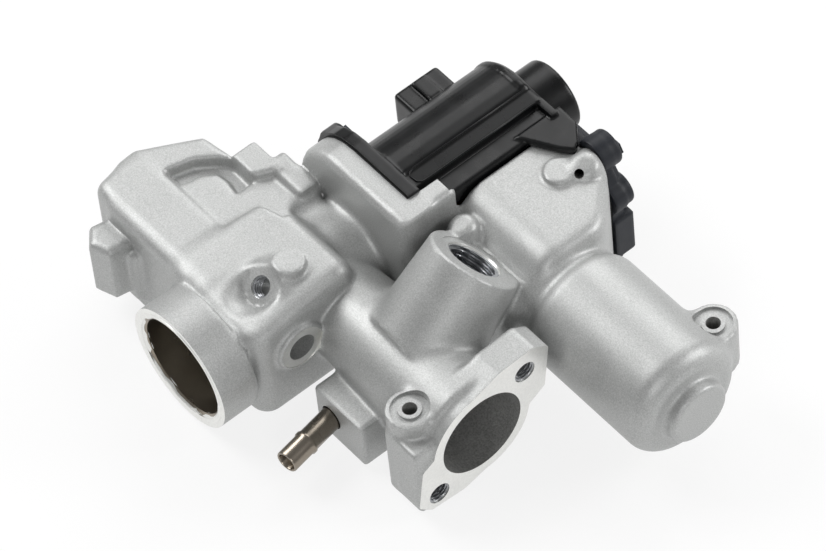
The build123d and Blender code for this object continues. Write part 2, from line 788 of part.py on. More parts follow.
with BuildPart() as motor_magnets:
    with BuildSketch(at_x(case_floor_x + 8)):
        with Locations((motor_y, motor_z)):
            Circle(motor_bore_r - 1.5)
            Circle(12.0, mode=Mode.SUBTRACT)
            Rectangle(4, 60, mode=Mode.SUBTRACT)
    extrude(amount=36)
finish(motor_magnets, "motor_magnets")

with BuildPart() as motor_end_plate:
    with BuildSketch(at_x(case_floor_x - end_plate_thickness)):
        with Locations((motor_y, motor_z)):
            Circle(motor_bore_r + 0.6)
            Circle(3.5, mode=Mode.SUBTRACT)
        with Locations((idler_y, idler_z)):
            Circle(axle_r, mode=Mode.SUBTRACT)
    extrude(amount=end_plate_thickness)
finish(motor_end_plate, "motor_end_plate")

for name, x0, length in (
    ("motor_front_bush", case_floor_x - end_plate_thickness, 4.0),
    ("motor_rear_bush", motor_bore_end - 5.0, 4.0),
):
    with BuildPart() as motor_bush:
        with BuildSketch(at_x(x0)):
            with Locations((motor_y, motor_z)):
                Circle(3.5)
                Circle(motor_shaft_r + running, mode=Mode.SUBTRACT)
        extrude(amount=length)
    finish(motor_bush, name)

with BuildPart() as motor_rotor:
    with BuildSketch(at_x(pinion_x1)):
        with Locations((motor_y, motor_z)):
            Circle(motor_shaft_r)
    extrude(amount=motor_bore_end - 2 - pinion_x1)
    with BuildSketch(at_x(case_floor_x + 9)):
        with Locations((motor_y, motor_z)):
            Circle(11.4)
            with PolarLocations(9.4, 8):
                Rectangle(4.2, 1.6, mode=Mode.SUBTRACT)
    extrude(amount=32)
    with BuildSketch(at_x(case_floor_x + 3)):
        with Locations((motor_y, motor_z)):
            Circle(5)
    extrude(amount=6)
finish(motor_rotor, "motor_rotor")

with BuildPart() as motor_pinion:
    extrude(
        gear_sketch(
            Plane(origin=(pinion_x0, motor_y, motor_z), x_dir=(0, 1, 0), z_dir=(1, 0, 0)),
            gear_module, pinion_teeth, idler_angle, 0,
        ),
        amount=pinion_x1 - pinion_x0,
    )
finish(motor_pinion, "motor_pinion")

idler_plane = Plane(origin=(0, idler_y, idler_z), x_dir=(0, 1, 0), z_dir=(1, 0, 0))
output_plane = Plane(origin=(0, motor_y, motor_z), x_dir=(0, 1, 0), z_dir=(1, 0, 0))

with BuildPart() as idler_gear:
    extrude(
        gear_sketch(
            idler_plane.offset(idler_wheel_x0), gear_module, wheel_teeth,
            idler_angle + 180 + 180 / wheel_teeth, axle_r + running,
        ),
        amount=gear_face,
    )
    extrude(
        gear_sketch(
            idler_plane.offset(idler_pinion_x0), gear_module, pinion_teeth,
            idler_angle + 180, axle_r + running,
        ),
        amount=idler_wheel_x0 - idler_pinion_x0,
    )
finish(idler_gear, "idler_gear")

with BuildPart() as idler_axle:
    with BuildSketch(at_x(gear_plate_x0)):
        with Locations((idler_y, idler_z)):
            Circle(axle_r)
    extrude(amount=case_floor_x - gear_plate_x0)
finish(idler_axle, "idler_axle")

with BuildPart() as output_gear:
    extrude(
        gear_sketch(
            output_plane.offset(output_wheel_x0), gear_module, wheel_teeth,
            idler_angle + 180 / wheel_teeth, shaft_r,
        ),
        amount=gear_face,
    )
finish(output_gear, "output_gear")

with BuildPart() as output_shaft:
    with BuildSketch(at_x(valve_x - rack_pinion_half - 0.5)):
        with Locations((motor_y, motor_z)):
            Circle(shaft_r)
    extrude(amount=output_wheel_x0 + gear_face - valve_x + rack_pinion_half + 0.5)
    extrude(
        gear_sketch(
            output_plane.offset(valve_x - rack_pinion_half), rack_module,
            rack_pinion_teeth, -90, 0,
        ),
        amount=2 * rack_pinion_half,
    )
finish(output_shaft, "output_shaft")

for name, x0, x1 in (
    ("arm_bush", arm_x0, arm_x1),
    ("plate_bush", gear_plate_x0, gear_plate_x1),
):
    with BuildPart() as shaft_bush:
        with BuildSketch(at_x(x0)):
            with Locations((motor_y, motor_z)):
                Circle(bush_r)
                Circle(shaft_r + running, mode=Mode.SUBTRACT)
        extrude(amount=x1 - x0)
    finish(shaft_bush, name)

plate_slope = case_slope + (case_slope_wall + 0.5) * sqrt(2)
with BuildPart() as gear_plate:
    with BuildSketch(at_x(gear_plate_x0)) as plate:
        with Locations((59, 3.25)):
            Rectangle(44, 45.5)
        fillet(plate.vertices(), 3)
        Polygon(
            (36, 36 - plate_slope), (27 + plate_slope, 27), (36, 27), align=None,
            mode=Mode.SUBTRACT,
        )
        with Locations((motor_y, motor_z)):
            Circle(bush_r, mode=Mode.SUBTRACT)
        with Locations((idler_y, idler_z)):
            Circle(axle_r, mode=Mode.SUBTRACT)
        with Locations(*plate_ledges):
            Circle(screw_r, mode=Mode.SUBTRACT)
    extrude(amount=gear_plate_x1 - gear_plate_x0 - seat)
finish(gear_plate, "gear_plate")


# ---- covers ---------------------------------------------------------------------------
with BuildPart() as cover_gasket:
    extrude(arch_sketch(block_face_y + gasket_thickness, cover_flange_x1, 0),
            amount=gasket_thickness)
    with BuildSketch(at_y(block_face_y + gasket_thickness)) as opening:
        with Locations(pocket_centre):
            Rectangle(*pocket_size)
        fillet(opening.vertices(), pocket_round)
        with Locations(*cover_screws_at):
            Circle(screw_r + 0.3)
    extrude(amount=gasket_thickness, mode=Mode.SUBTRACT)
finish(cover_gasket, "cover_gasket")


def cup_sketch(y, shrink):
    """Section of the actuator cover's cup across Y: drum, stepped edge and straight sides."""
    left = drum_x - drum_r
    turn = radians(45)
    with BuildSketch(at_y(y)) as section:
        with BuildLine():
            Line((left, cup_bottom_z), (left, drum_z))
            ThreePointArc(
                (left, drum_z),
                (drum_x - drum_r * sin(turn), drum_z + drum_r * cos(turn)),
                (drum_x, drum_z + drum_r),
            )
            Polyline(
                (drum_x, drum_z + drum_r),
                *cup_edge,
                (skirt_x1, drum_z + drum_r - 6.2),
                (skirt_x1, cup_bottom_z),
                (left, cup_bottom_z),
            )
        make_face()
        if shrink > 0:
            offset(amount=-shrink, kind=Kind.INTERSECTION)
    return section.sketch


flange_y0 = block_face_y + gasket_thickness
with BuildPart() as actuator_cover:
    # flange wrapped round the end of the block
    extrude(
        arch_sketch(flange_y1, cover_flange_x1 - flange_proud, flange_proud),
        amount=flange_y1 - flange_y0,
    )
    with BuildSketch(at_y(flange_y1)):
        with Locations((-90, -32)):
            Rectangle(80, 20)
    extrude(amount=flange_y1 - flange_y0, mode=Mode.SUBTRACT)
    # cup, cut back beside the block's step
    extrude(cup_sketch(drum_y1, 0), amount=drum_y1 - flange_y1)
    fillet(actuator_cover.faces().sort_by(Axis.Y)[-1].edges().filter_by(GeomType.CIRCLE), cup_round)
    with BuildSketch(at_y(skirt_y0)):
        with Locations((cover_flange_x1 + 10, 10)):
            Rectangle(20, 80)
    extrude(amount=skirt_y0 - flange_y1, mode=Mode.SUBTRACT)
    # wall beside the gear case and the ear over its far corner
    with BuildSketch(at_y(drum_y1)):
        with Locations((skirt_x1 - cover_wall / 2, (case_top_z - 22) / 2)):
            Rectangle(cover_wall, case_top_z + 22)
    extrude(amount=drum_y1 - skirt_y0)
    with BuildSketch(at_z(case_top_z + 0.3)) as ear_plate:
        Polygon((-62, 71), (-62, 88), (-49, 87), (-46, 81.6), (-48.5, 78), align=None)
    extrude(amount=2.4)
    # round cap on the drum's axis
    with BuildSketch(at_y(round_cap_y1)):
        with Locations((drum_x, drum_z)):
            Circle(round_cap_r)
    extrude(amount=round_cap_y1 - drum_y1 + 1)
    fillet(actuator_cover.faces().sort_by(Axis.Y)[-1].edges(), 0.8)
    # plug socket with its lock rib
    with BuildSketch(at_x(connector_x0)):
        with Locations((connector_y, connector_z)):
            Rectangle(connector_w, connector_h)
    extrude(amount=drum_x - drum_r + 6 - connector_x0)
    with BuildSketch(at_x(connector_x0 + 1)):
        with Locations((connector_y, connector_z + connector_h / 2)):
            Rectangle(6, 4)
    extrude(amount=9)
    # hollow
    extrude(
        cup_sketch(drum_y1 - cover_wall, cover_wall),
        amount=drum_y1 - cover_wall - flange_y0, mode=Mode.SUBTRACT,
    )
    with BuildSketch(at_x(skirt_x1 - 2 * cover_wall)):
        with Locations(((skirt_y0 + 3 + drum_y1 - cover_wall) / 2, 8)):
            Rectangle(drum_y1 - cover_wall - skirt_y0 - 3, 36)
    extrude(amount=4 * cover_wall, mode=Mode.SUBTRACT)
    with BuildSketch(at_x(connector_x0)):
        with Locations((connector_y, connector_z)):
            Rectangle(connector_w - 2 * connector_wall, connector_h - 2 * connector_wall)
    extrude(amount=drum_x - drum_r - connector_x0, mode=Mode.SUBTRACT)
    with BuildSketch(at_y(flange_y1)):
        with Locations(*cover_screws_at):
            Circle(screw_r + 0.3)
    extrude(amount=flange_y1 - flange_y0, mode=Mode.SUBTRACT)
finish(actuator_cover, "actuator_cover")

with BuildPart() as cover_screws:
    for place in cover_screws_at:
        with BuildSketch(at_y(flange_y1 + screw_head_height)):
            with Locations(place):
                RegularPolygon(screw_head_r, 6)
        extrude(amount=screw_head_height)
        with BuildSketch(at_y(flange_y1)):
            with Locations(place):
                Circle(screw_r)
        extrude(amount=flange_y1 - block_face_y + 6)
finish(cover_screws, "cover_screws")

with BuildPart() as plate_screws:
    for place in plate_ledges:
        with BuildSketch(at_x(gear_plate_x0 - 1.8)):
            with Locations(place):
                Circle(ledge_r)
        extrude(amount=1.8)
        with BuildSketch(at_x(gear_plate_x0)):
            with Locations(place):
                Circle(screw_r)
        extrude(amount=gear_plate_x1 - gear_plate_x0 + 7)
finish(plate_screws, "plate_screws")

with BuildPart() as terminals:
    for row in range(terminal_count):
        place = (connector_y + (row - (terminal_count - 1) / 2) * terminal_pitch, connector_z)
        with BuildSketch(at_x(connector_x0 + 2.5)):
            with Locations(place):
                Rectangle(1.5, 0.8)
        extrude(amount=drum_x - drum_r - connector_x0 - 2.5)
finish(terminals, "terminals")


def side_cover_sketch(y, shrink):
    """Outline of the lobed side cover across Y."""
    with BuildSketch(at_y(y)) as outline:
        Polygon(*side_cover_points, align=None)
        with Locations(*side_screws_at):
            Circle(side_boss_r + 1)
        with Locations((case_x0 - 10, 0)):
            Rectangle(20, 80, mode=Mode.SUBTRACT)
        if shrink > 0:
            offset(amount=-shrink, kind=Kind.INTERSECTION)
    return outline.sketch


side_y0 = case_y1 + gasket_thickness
with BuildPart() as side_cover:
    extrude(side_cover_sketch(side_cover_y1, 0), amount=side_cover_y1 - side_y0)
    with BuildSketch(at_y(side_y0 + side_pocket)) as pocket:
        Polygon(*side_pocket_points, align=None)
        fillet(pocket.vertices(), 3)
    extrude(amount=side_pocket, mode=Mode.SUBTRACT)
    for place in side_screws_at:
        with BuildSketch(at_y(side_cover_y1)):
            with Locations(place):
                Circle(screw_r + 0.3)
        extrude(amount=side_cover_y1 - side_y0, mode=Mode.SUBTRACT)
finish(side_cover, "side_cover")

with BuildPart() as side_gasket:
    extrude(side_cover_sketch(side_y0, 0), amount=gasket_thickness)
    with BuildSketch(at_y(side_y0)) as pocket:
        Polygon(*side_pocket_points, align=None)
        fillet(pocket.vertices(), 3)
        with Locations(*side_screws_at):
            Circle(screw_r + 0.3)
    extrude(amount=gasket_thickness, mode=Mode.SUBTRACT)
finish(side_gasket, "side_gasket")

with BuildPart() as side_cover_screws:
    for place in side_screws_at:
        with BuildSketch(at_y(side_cover_y1 + screw_head_height)):
            with Locations(place):
                RegularPolygon(screw_head_r, 6)
        extrude(amount=screw_head_height)
        with BuildSketch(at_y(side_cover_y1)):
            with Locations(place):
                Circle(screw_r)
        extrude(amount=side_cover_y1 - case_y1 + 5.5)
finish(side_cover_screws, "side_cover_screws")

with BuildPart() as sensor_magnet:
    with BuildSketch(at_y(rack_y1 + 3)):
        with Locations((valve_x, magnet_z)):
            Circle(2.4)
    extrude(amount=3)
finish(sensor_magnet, "sensor_magnet")

with BuildPart() as sensor_board:
    with BuildSketch(at_y(drum_y1 - cover_wall)):
        with Locations((drum_x, drum_z - 6)):
            Rectangle(30, 26)
    extrude(amount=1.6)
finish(sensor_board, "sensor_board")

with BuildPart() as coolant_pipe:
    with BuildSketch(pipe_line.offset(-8)):
        Circle(pipe_r)
        Circle(pipe_bore_r, mode=Mode.SUBTRACT)
    extrude(amount=pipe_length + 8)
    with BuildSketch(pipe_line.offset(pipe_length - 5.5)):
        Circle(pipe_r + 0.6)
        Circle(pipe_bore_r, mode=Mode.SUBTRACT)
    extrude(amount=1.6)
finish(coolant_pipe, "coolant_pipe")
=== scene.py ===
import math

import bmesh
import bpy
import numpy as np
from bpy.props import FloatProperty, FloatVectorProperty, PointerProperty
from mathutils import Matrix, Vector


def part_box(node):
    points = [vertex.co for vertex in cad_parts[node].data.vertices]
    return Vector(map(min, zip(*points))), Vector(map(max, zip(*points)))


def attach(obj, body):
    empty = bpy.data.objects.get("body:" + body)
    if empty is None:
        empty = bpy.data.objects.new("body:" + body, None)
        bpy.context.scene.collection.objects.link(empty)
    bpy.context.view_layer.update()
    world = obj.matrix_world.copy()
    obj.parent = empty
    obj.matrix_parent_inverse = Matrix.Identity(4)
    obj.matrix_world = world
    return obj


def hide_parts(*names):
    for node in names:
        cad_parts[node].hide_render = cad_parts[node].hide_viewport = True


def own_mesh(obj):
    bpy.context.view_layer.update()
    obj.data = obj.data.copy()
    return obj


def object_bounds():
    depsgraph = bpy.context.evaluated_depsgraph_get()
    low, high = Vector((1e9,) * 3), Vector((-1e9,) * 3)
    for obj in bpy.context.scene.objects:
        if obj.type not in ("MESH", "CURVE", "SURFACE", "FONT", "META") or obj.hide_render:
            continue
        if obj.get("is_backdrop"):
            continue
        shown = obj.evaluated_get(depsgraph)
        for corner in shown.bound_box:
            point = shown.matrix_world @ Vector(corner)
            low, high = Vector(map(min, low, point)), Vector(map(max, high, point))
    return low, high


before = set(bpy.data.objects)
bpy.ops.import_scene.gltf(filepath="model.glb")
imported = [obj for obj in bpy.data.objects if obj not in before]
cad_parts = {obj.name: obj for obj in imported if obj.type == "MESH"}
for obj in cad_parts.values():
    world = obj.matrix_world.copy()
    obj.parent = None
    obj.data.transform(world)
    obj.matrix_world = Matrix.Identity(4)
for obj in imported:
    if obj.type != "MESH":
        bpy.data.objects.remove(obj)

bl_info = {
    "name": "EGR valve looks",
    "version": (1, 0, 0),
    "blender": (4, 5, 0),
    "location": "View3D > Sidebar > EGR valve",
    "description": "Cast skins, covers, threads and finishes of an EGR valve",
    "category": "Object",
}

MM = 0.001                      # one millimetre in the frame's metres
ROOT = "housing"                # the body that every outer piece rides on
COS45 = math.sqrt(0.5)
MATS = {}                       # finishes by short name, filled by the first operator


# ---- colours and materials ---------------------------------------------------------

def linear(code):
    """sRGB hex code as linear red, green and blue."""
    part = np.array([int(code[i:i + 2], 16) for i in (1, 3, 5)]) / 255.0
    return tuple(np.where(part <= 0.04045, part / 12.92, ((part + 0.055) / 1.055) ** 2.4))


def node(tree, kind, settings=None, **links):
    """Adds one node; settings are its properties or socket values, links join its inputs."""
    made = tree.nodes.new(kind)
    for name, value in (settings or {}).items():
        if hasattr(made, name):
            setattr(made, name, value)
        else:
            made.inputs[name].default_value = value
    for name, source in links.items():
        tree.links.new(source, made.inputs[name.replace("_", " ")])
    return made


def material(name, colour, metallic, roughness, **more):
    """New material with its Principled shader; returns both."""
    made = bpy.data.materials.new(name)
    made.use_nodes = True
    shader = made.node_tree.nodes["Principled BSDF"]
    shader.inputs["Base Color"].default_value = (*colour, 1)
    shader.inputs["Metallic"].default_value = metallic
    shader.inputs["Roughness"].default_value = roughness
    for socket, value in more.items():
        shader.inputs[socket.replace("_", " ")].default_value = value
    made.diffuse_color = (*colour, 1)
    return made, shader


def grained(name, colour, metallic, roughness, grain_mm, speckle, bump_mm, blotch_mm=9.0,
            blotch=0.06, rough_swing=0.08, **more):
    """Material whose colour and relief follow a fine grain of grain_mm over soft blotches."""
    made, shader = material(name, colour, metallic, roughness, **more)
    tree = made.node_tree
    at = node(tree, "ShaderNodeTexCoord").outputs["Object"]
    fine = node(tree, "ShaderNodeTexNoise",
                {"Scale": 1 / (grain_mm * MM), "Detail": 3.0, "Roughness": 0.65}, Vector=at)
    broad = node(tree, "ShaderNodeTexNoise",
                 {"Scale": 1 / (blotch_mm * MM), "Detail": 2.0, "Roughness": 0.5}, Vector=at)
    tone = node(tree, "ShaderNodeMapRange",
                {"From Min": 0.3, "From Max": 0.7, "To Min": 1 - speckle, "To Max": 1 + speckle},
                Value=fine.outputs["Fac"])
    wide = node(tree, "ShaderNodeMapRange",
                {"From Min": 0.3, "From Max": 0.7, "To Min": 1 - blotch, "To Max": 1 + blotch},
                Value=broad.outputs["Fac"])
    both = node(tree, "ShaderNodeMath", {"operation": "MULTIPLY"})
    tree.links.new(tone.outputs["Result"], both.inputs[0])
    tree.links.new(wide.outputs["Result"], both.inputs[1])
    tint = node(tree, "ShaderNodeVectorMath", {"operation": "SCALE"}, Scale=both.outputs[0])
    tint.inputs[0].default_value = colour
    tree.links.new(tint.outputs[0], shader.inputs["Base Color"])
    rough = node(tree, "ShaderNodeMapRange",
                 {"From Min": 0.3, "From Max": 0.7, "To Min": roughness - rough_swing,
                  "To Max": roughness + rough_swing}, Value=broad.outputs["Fac"])
    tree.links.new(rough.outputs["Result"], shader.inputs["Roughness"])
    if bump_mm > 0:
        bump = node(tree, "ShaderNodeBump", {"Strength": 1.0, "Distance": bump_mm * MM},
                    Height=fine.outputs["Fac"])
        tree.links.new(bump.outputs["Normal"], shader.inputs["Normal"])
    return made


# ---- distance fields ------------------------------------------------------------------
# A field gives each point of a grid its distance to a shape in millimetres, negative inside.

class Field:
    """Grid of points over a box, with open axes so that plane figures cost one plane each."""

    def __init__(self, low, high, step):
        self.low, self.step = np.array(low, float), step
        lines = [np.arange(a, b + step, step, dtype=np.float32) for a, b in zip(low, high)]
        self.x = lines[0][:, None, None]
        self.y = lines[1][None, :, None]
        self.z = lines[2][None, None, :]
        self.value = np.full([len(v) for v in lines], 99.0, np.float32)

    def join(self, shape, blend):
        """Adds a shape; the corner between old and new is filled over a width of blend."""
        self.value = soft_min(self.value, shape, blend)

    def cut(self, shape, blend):
        """Takes a shape away, with the new edge rounded over a width of blend."""
        self.value = -soft_min(-self.value, shape, blend)


def soft_min(a, b, k):
    """Smaller of a and b, less k/4 times the square of how close they are within k."""
    low = np.minimum(a, b)
    if k <= 0:
        return low
    near = np.maximum(k - np.abs(a - b), 0) / k
    return low - near * near * (k / 4)


def soft_max(a, b, k):
    """Larger of a and b, rounded where they are within k."""
    return -soft_min(-a, -b, k)


def capped(flat, along, r):
    """Solid from a plane distance and the distance past its two ends, with edges of radius r."""
    p, q = flat + r, along + r
    out = np.sqrt(np.maximum(p, 0) ** 2 + np.maximum(q, 0) ** 2)
    return out + np.minimum(np.maximum(p, q), 0) - r


def between(v, a, b):
    """Distance past the ends a and b of a span, negative between them."""
    return np.abs(v - (a + b) / 2) - (b - a) / 2


def disc(u, v, centre, r):
    """Plane distance to a circle."""
    return np.hypot(u - centre[0], v - centre[1]) - r


def outline(u, v, points):
    """Plane distance to a closed outline: nearest side, signed by how often a ray crosses it."""
    u, v = np.broadcast_arrays(u, v)
    best = np.full(u.shape, 1e9, np.float32)
    odd = np.zeros(u.shape, bool)
    for (ax, ay), (bx, by) in zip(points, points[1:] + points[:1]):
        ex, ey = bx - ax, by - ay
        t = np.clip(((u - ax) * ex + (v - ay) * ey) / (ex * ex + ey * ey), 0, 1)
        best = np.minimum(best, np.hypot(u - ax - t * ex, v - ay - t * ey))
        if ey != 0:
            crosses = (ay > v) != (by > v)
            odd ^= crosses & (u < ax + (v - ay) * ex / ey)
    return np.where(odd, -best, best).astype(np.float32)


def block(f, low, high, r):
    """Box with every edge rounded to radius r."""
    q = [between(w, a, b) + r for w, a, b in zip((f.x, f.y, f.z), low, high)]
    out = np.sqrt(sum(np.maximum(w, 0) ** 2 for w in q))
    return out + np.minimum(np.maximum(np.maximum(q[0], q[1]), q[2]), 0) - r


def leaning(f, foot, axis, a, b, ra, rb, r):
    """Round bar or cone from a to b along an axis through foot, radius ra to rb."""
    ax = np.array(axis) / np.linalg.norm(axis)
    dx, dy, dz = f.x - foot[0], f.y - foot[1], f.z - foot[2]
    along = dx * ax[0] + dy * ax[1] + dz * ax[2]
    away = np.sqrt(np.maximum(dx * dx + dy * dy + dz * dz - along * along, 0))
    wide = ra + (rb - ra) * np.clip((along - a) / (b - a), 0, 1)
    slope = math.cos(math.atan2(abs(ra - rb), b - a))
    return capped((away - wide) * slope, between(along, a, b), r)


def net(f):
    """Surface of a field: one point in each cell the surface crosses, at the mean of the places
    where it cuts the cell's edges, moved onto the zero level, and one square for each grid edge
    that it crosses."""
    v = f.value
    v[0], v[-1], v[:, 0], v[:, -1], v[:, :, 0], v[:, :, -1] = (9.0,) * 6
    size = tuple(n - 1 for n in v.shape)
    count = np.zeros(size, np.float32)
    spot = [np.zeros(size, np.float32) for _ in range(3)]
    crossed = []
    for axis in range(3):
        a = np.take(v, range(size[axis]), axis)
        b = np.take(v, range(1, size[axis] + 1), axis)
        cross = (a < 0) != (b < 0)
        crossed.append((cross, a < 0))
        t = np.where(cross, a / np.where(cross, a - b, 1), 0).astype(np.float32)
        sides = [s for s in range(3) if s != axis]
        for du in (0, 1):
            for dv in (0, 1):
                part = [slice(None)] * 3
                part[sides[0]] = slice(du, du + size[sides[0]])
                part[sides[1]] = slice(dv, dv + size[sides[1]])
                hit = cross[tuple(part)]
                count += hit
                spot[axis] += t[tuple(part)]
                spot[sides[0]] += du * hit
                spot[sides[1]] += dv * hit
    used = count > 0
    number = np.full(size, -1, np.int64)
    number[used] = np.arange(int(used.sum()))
    cell = np.argwhere(used).astype(np.float64)
    points = cell + np.stack([s[used] / count[used] for s in spot], 1)
    faces = []
    for axis in range(3):
        cross, starts_inside = crossed[axis]
        u, w = [s for s in range(3) if s != axis]
        at = np.argwhere(cross)
        keep = (at[:, u] > 0) & (at[:, w] > 0) & (at[:, u] < size[u]) & (at[:, w] < size[w])
        at = at[keep]
        inside = starts_inside[tuple(at.T)]
        corners = []
        for du, dw in ((1, 1), (0, 1), (0, 0), (1, 0)):
            c = at.copy()
            c[:, u] -= du
            c[:, w] -= dw
            corners.append(number[tuple(c.T)])
        quad = np.stack(corners, 1)
        flip = inside if axis != 1 else ~inside
        quad[~flip] = quad[~flip][:, ::-1]
        faces.append(quad)
    faces = np.concatenate(faces)
    for _ in range(3):
        level, slope = sample(v, points)
        length = np.maximum((slope ** 2).sum(1), 0.2)
        points = points - np.clip(level / length, -0.4, 0.4)[:, None] * slope
    return (f.low + points * f.step), faces


def sample(v, points):
    """Value and gradient of a grid at points between its nodes, by weighting the eight corners."""
    base = np.clip(np.floor(points).astype(int), 0, np.array(v.shape) - 2)
    t = points - base
    i, j, k = base.T
    c = {}
    for a in (0, 1):
        for b in (0, 1):
            for d in (0, 1):
                c[a, b, d] = v[i + a, j + b, k + d].astype(float)
    x, y, z = t.T
    level = 0
    slope = np.zeros(points.shape)
    for (a, b, d), value in c.items():
        wx, wy, wz = (x if a else 1 - x), (y if b else 1 - y), (z if d else 1 - z)
        level = level + value * wx * wy * wz
        slope[:, 0] += value * (1 if a else -1) * wy * wz
        slope[:, 1] += value * (1 if b else -1) * wx * wz
        slope[:, 2] += value * (1 if d else -1) * wx * wy
    return level, slope


# ---- meshes ---------------------------------------------------------------------------

def piece(name, points, faces, *materials):
    """New object from points in millimetres and faces; its place is in its mesh."""
    mesh = bpy.data.meshes.new(name)
    faces = np.asarray(faces)
    mesh.vertices.add(len(points))
    mesh.vertices.foreach_set("co", (np.asarray(points) * MM).astype(np.float32).ravel())
    mesh.loops.add(faces.size)
    mesh.loops.foreach_set("vertex_index", faces.ravel().astype(np.int32))
    mesh.polygons.add(len(faces))
    mesh.polygons.foreach_set("loop_start", np.arange(0, faces.size, faces.shape[1], dtype=np.int32))
    mesh.update(calc_edges=True)
    mesh.validate()
    for m in materials:
        mesh.materials.append(m)
    made = bpy.data.objects.new(name, mesh)
    bpy.context.scene.collection.objects.link(made)
    return made


def lathe(name, profile, foot, axis, *materials, turns=96):
    """Closed profile of (radius, height) pairs carried round an axis through foot.

    Each point is the foot, plus height times the axis, plus radius times the unit ring
    (cosine and sine of the turn) across the axis.
    """
    profile = np.array(profile, float)
    ax = Vector(axis).normalized()
    side = ax.orthogonal().normalized()
    up = ax.cross(side)
    t = np.linspace(0, 2 * np.pi, turns, endpoint=False)
    ring = np.cos(t)[:, None] * np.array(side) + np.sin(t)[:, None] * np.array(up)
    points = (np.array(foot) + profile[None, :, 1, None] * np.array(ax)
              + profile[None, :, 0, None] * ring[:, None, :])
    n = len(profile)
    i, j = np.meshgrid(np.arange(turns), np.arange(n), indexing="ij")
    i2, j2 = (i + 1) % turns, (j + 1) % n
    quads = np.stack([i * n + j, i2 * n + j, i2 * n + j2, i * n + j2], -1).reshape(-1, 4)
    made = piece(name, points.reshape(-1, 3), quads, *materials)
    clean_mesh(made)
    return made


def prism(name, points, plane, a, b, *materials):
    """Flat outline carried straight along an axis from a to b.

    plane names the two axes that the outline's numbers are measured on.
    """
    u, v = "xyz".index(plane[0]), "xyz".index(plane[1])
    w = 3 - u - v
    n = len(points)
    at = np.zeros((2, n, 3))
    at[:, :, u] = [p[0] for p in points]
    at[:, :, v] = [p[1] for p in points]
    at[0, :, w], at[1, :, w] = a, b
    mesh = bpy.data.meshes.new(name)
    k = np.arange(n)
    sides = np.stack([k, (k + 1) % n, (k + 1) % n + n, k + n], 1).tolist()
    mesh.from_pydata((at.reshape(-1, 3) * MM).tolist(), [],
                     sides + [list(range(n)), list(range(2 * n - 1, n - 1, -1))])
    for m in materials:
        mesh.materials.append(m)
    made = bpy.data.objects.new(name, mesh)
    bpy.context.scene.collection.objects.link(made)
    clean_mesh(made)
    return made


def slab(name, plane, u, v, along, *materials):
    """Box from three spans: two on the plane's axes and one along the third axis."""
    corners = [(u[0], v[0]), (u[1], v[0]), (u[1], v[1]), (u[0], v[1])]
    return prism(name, corners, plane, *along, *materials)


def bead(name, line, r, *materials, across=(0, 0, 1)):
    """Round wire of radius r along a line of points, with a pole at each end.

    Each ring is the point plus r times the cosine and sine of its angle, on two directions
    square to the wire; the first of them is also square to across.
    """
    p = np.array(line, float)
    way = np.gradient(p, axis=0)
    way /= np.linalg.norm(way, axis=1)[:, None]
    side = np.cross(way, across)
    side /= np.linalg.norm(side, axis=1)[:, None]
    other = np.cross(way, side)
    turns, pole = 10, r * 0.6
    angle = np.linspace(0, 2 * math.pi, turns, endpoint=False)[None, :, None]
    rings = p[:, None] + r * (np.cos(angle) * side[:, None] + np.sin(angle) * other[:, None])
    points = np.vstack([rings.reshape(-1, 3), p[:1] - way[:1] * pole, p[-1:] + way[-1:] * pole])
    rows, faces = len(p), []
    first_pole, last_pole, last_ring = rows * turns, rows * turns + 1, (rows - 1) * turns
    for j in range(turns):
        k = (j + 1) % turns
        for i in range(0, last_ring, turns):
            faces.append((i + j, i + k, i + turns + k))
            faces.append((i + j, i + turns + k, i + turns + j))
        faces.append((first_pole, k, j))
        faces.append((last_pole, last_ring + j, last_ring + k))
    made = piece(name, points, faces, *materials)
    smooth(made, 60.0)
    return made


def clean_mesh(made):
    """Merges doubled points and turns every face outwards."""
    bm = bmesh.new()
    bm.from_mesh(made.data)
    bmesh.ops.remove_doubles(bm, verts=bm.verts, dist=1e-7)
    bmesh.ops.dissolve_degenerate(bm, edges=bm.edges, dist=1e-7)
    bmesh.ops.recalc_face_normals(bm, faces=bm.faces)
    bm.to_mesh(made.data)
    bm.free()


def bar(name, plane, centre, r, a, b, *materials, turns=64):
    """Round bar across a plane."""
    t = np.linspace(0, 2 * np.pi, turns, endpoint=False)
    ring = [(centre[0] + r * math.cos(w), centre[1] + r * math.sin(w)) for w in t]
    return prism(name, ring, plane, a, b, *materials)


def carve(made, cutters, operation="DIFFERENCE"):
    """Cuts solids out of a piece, one after another, each leaving its own finish."""
    for tool in cutters:
        step = made.modifiers.new("cut", "BOOLEAN")
        step.operation = operation
        step.solver = "MANIFOLD"
        step.object = tool
        step.material_mode = "TRANSFER"
        bpy.context.view_layer.objects.active = made
        bpy.ops.object.modifier_apply(modifier=step.name)
        bpy.data.objects.remove(tool)
    return made


def smooth(made, angle=38.0):
    """Shades smooth, with the edges steeper than angle kept sharp."""
    made.data.polygons.foreach_set("use_smooth", np.ones(len(made.data.polygons), bool))
    made.data.set_sharp_from_angle(angle=math.radians(angle))
    made.data.update()


def drop_slivers(made):
    """Splits a cut piece into triangles and closes up those of no width, which show nothing."""
    bm = bmesh.new()
    bm.from_mesh(made.data)
    bmesh.ops.triangulate(bm, faces=bm.faces)
    bmesh.ops.dissolve_degenerate(bm, edges=bm.edges, dist=0.001 * MM)
    bm.to_mesh(made.data)
    bm.free()


def lighten(made, triangles):
    """Brings a piece down to about a number of triangles."""
    have = sum(len(p.vertices) - 2 for p in made.data.polygons)
    if have > triangles:
        step = made.modifiers.new("thin", "DECIMATE")
        step.ratio = triangles / have
        bpy.context.view_layer.objects.active = made
        bpy.ops.object.modifier_apply(modifier=step.name)


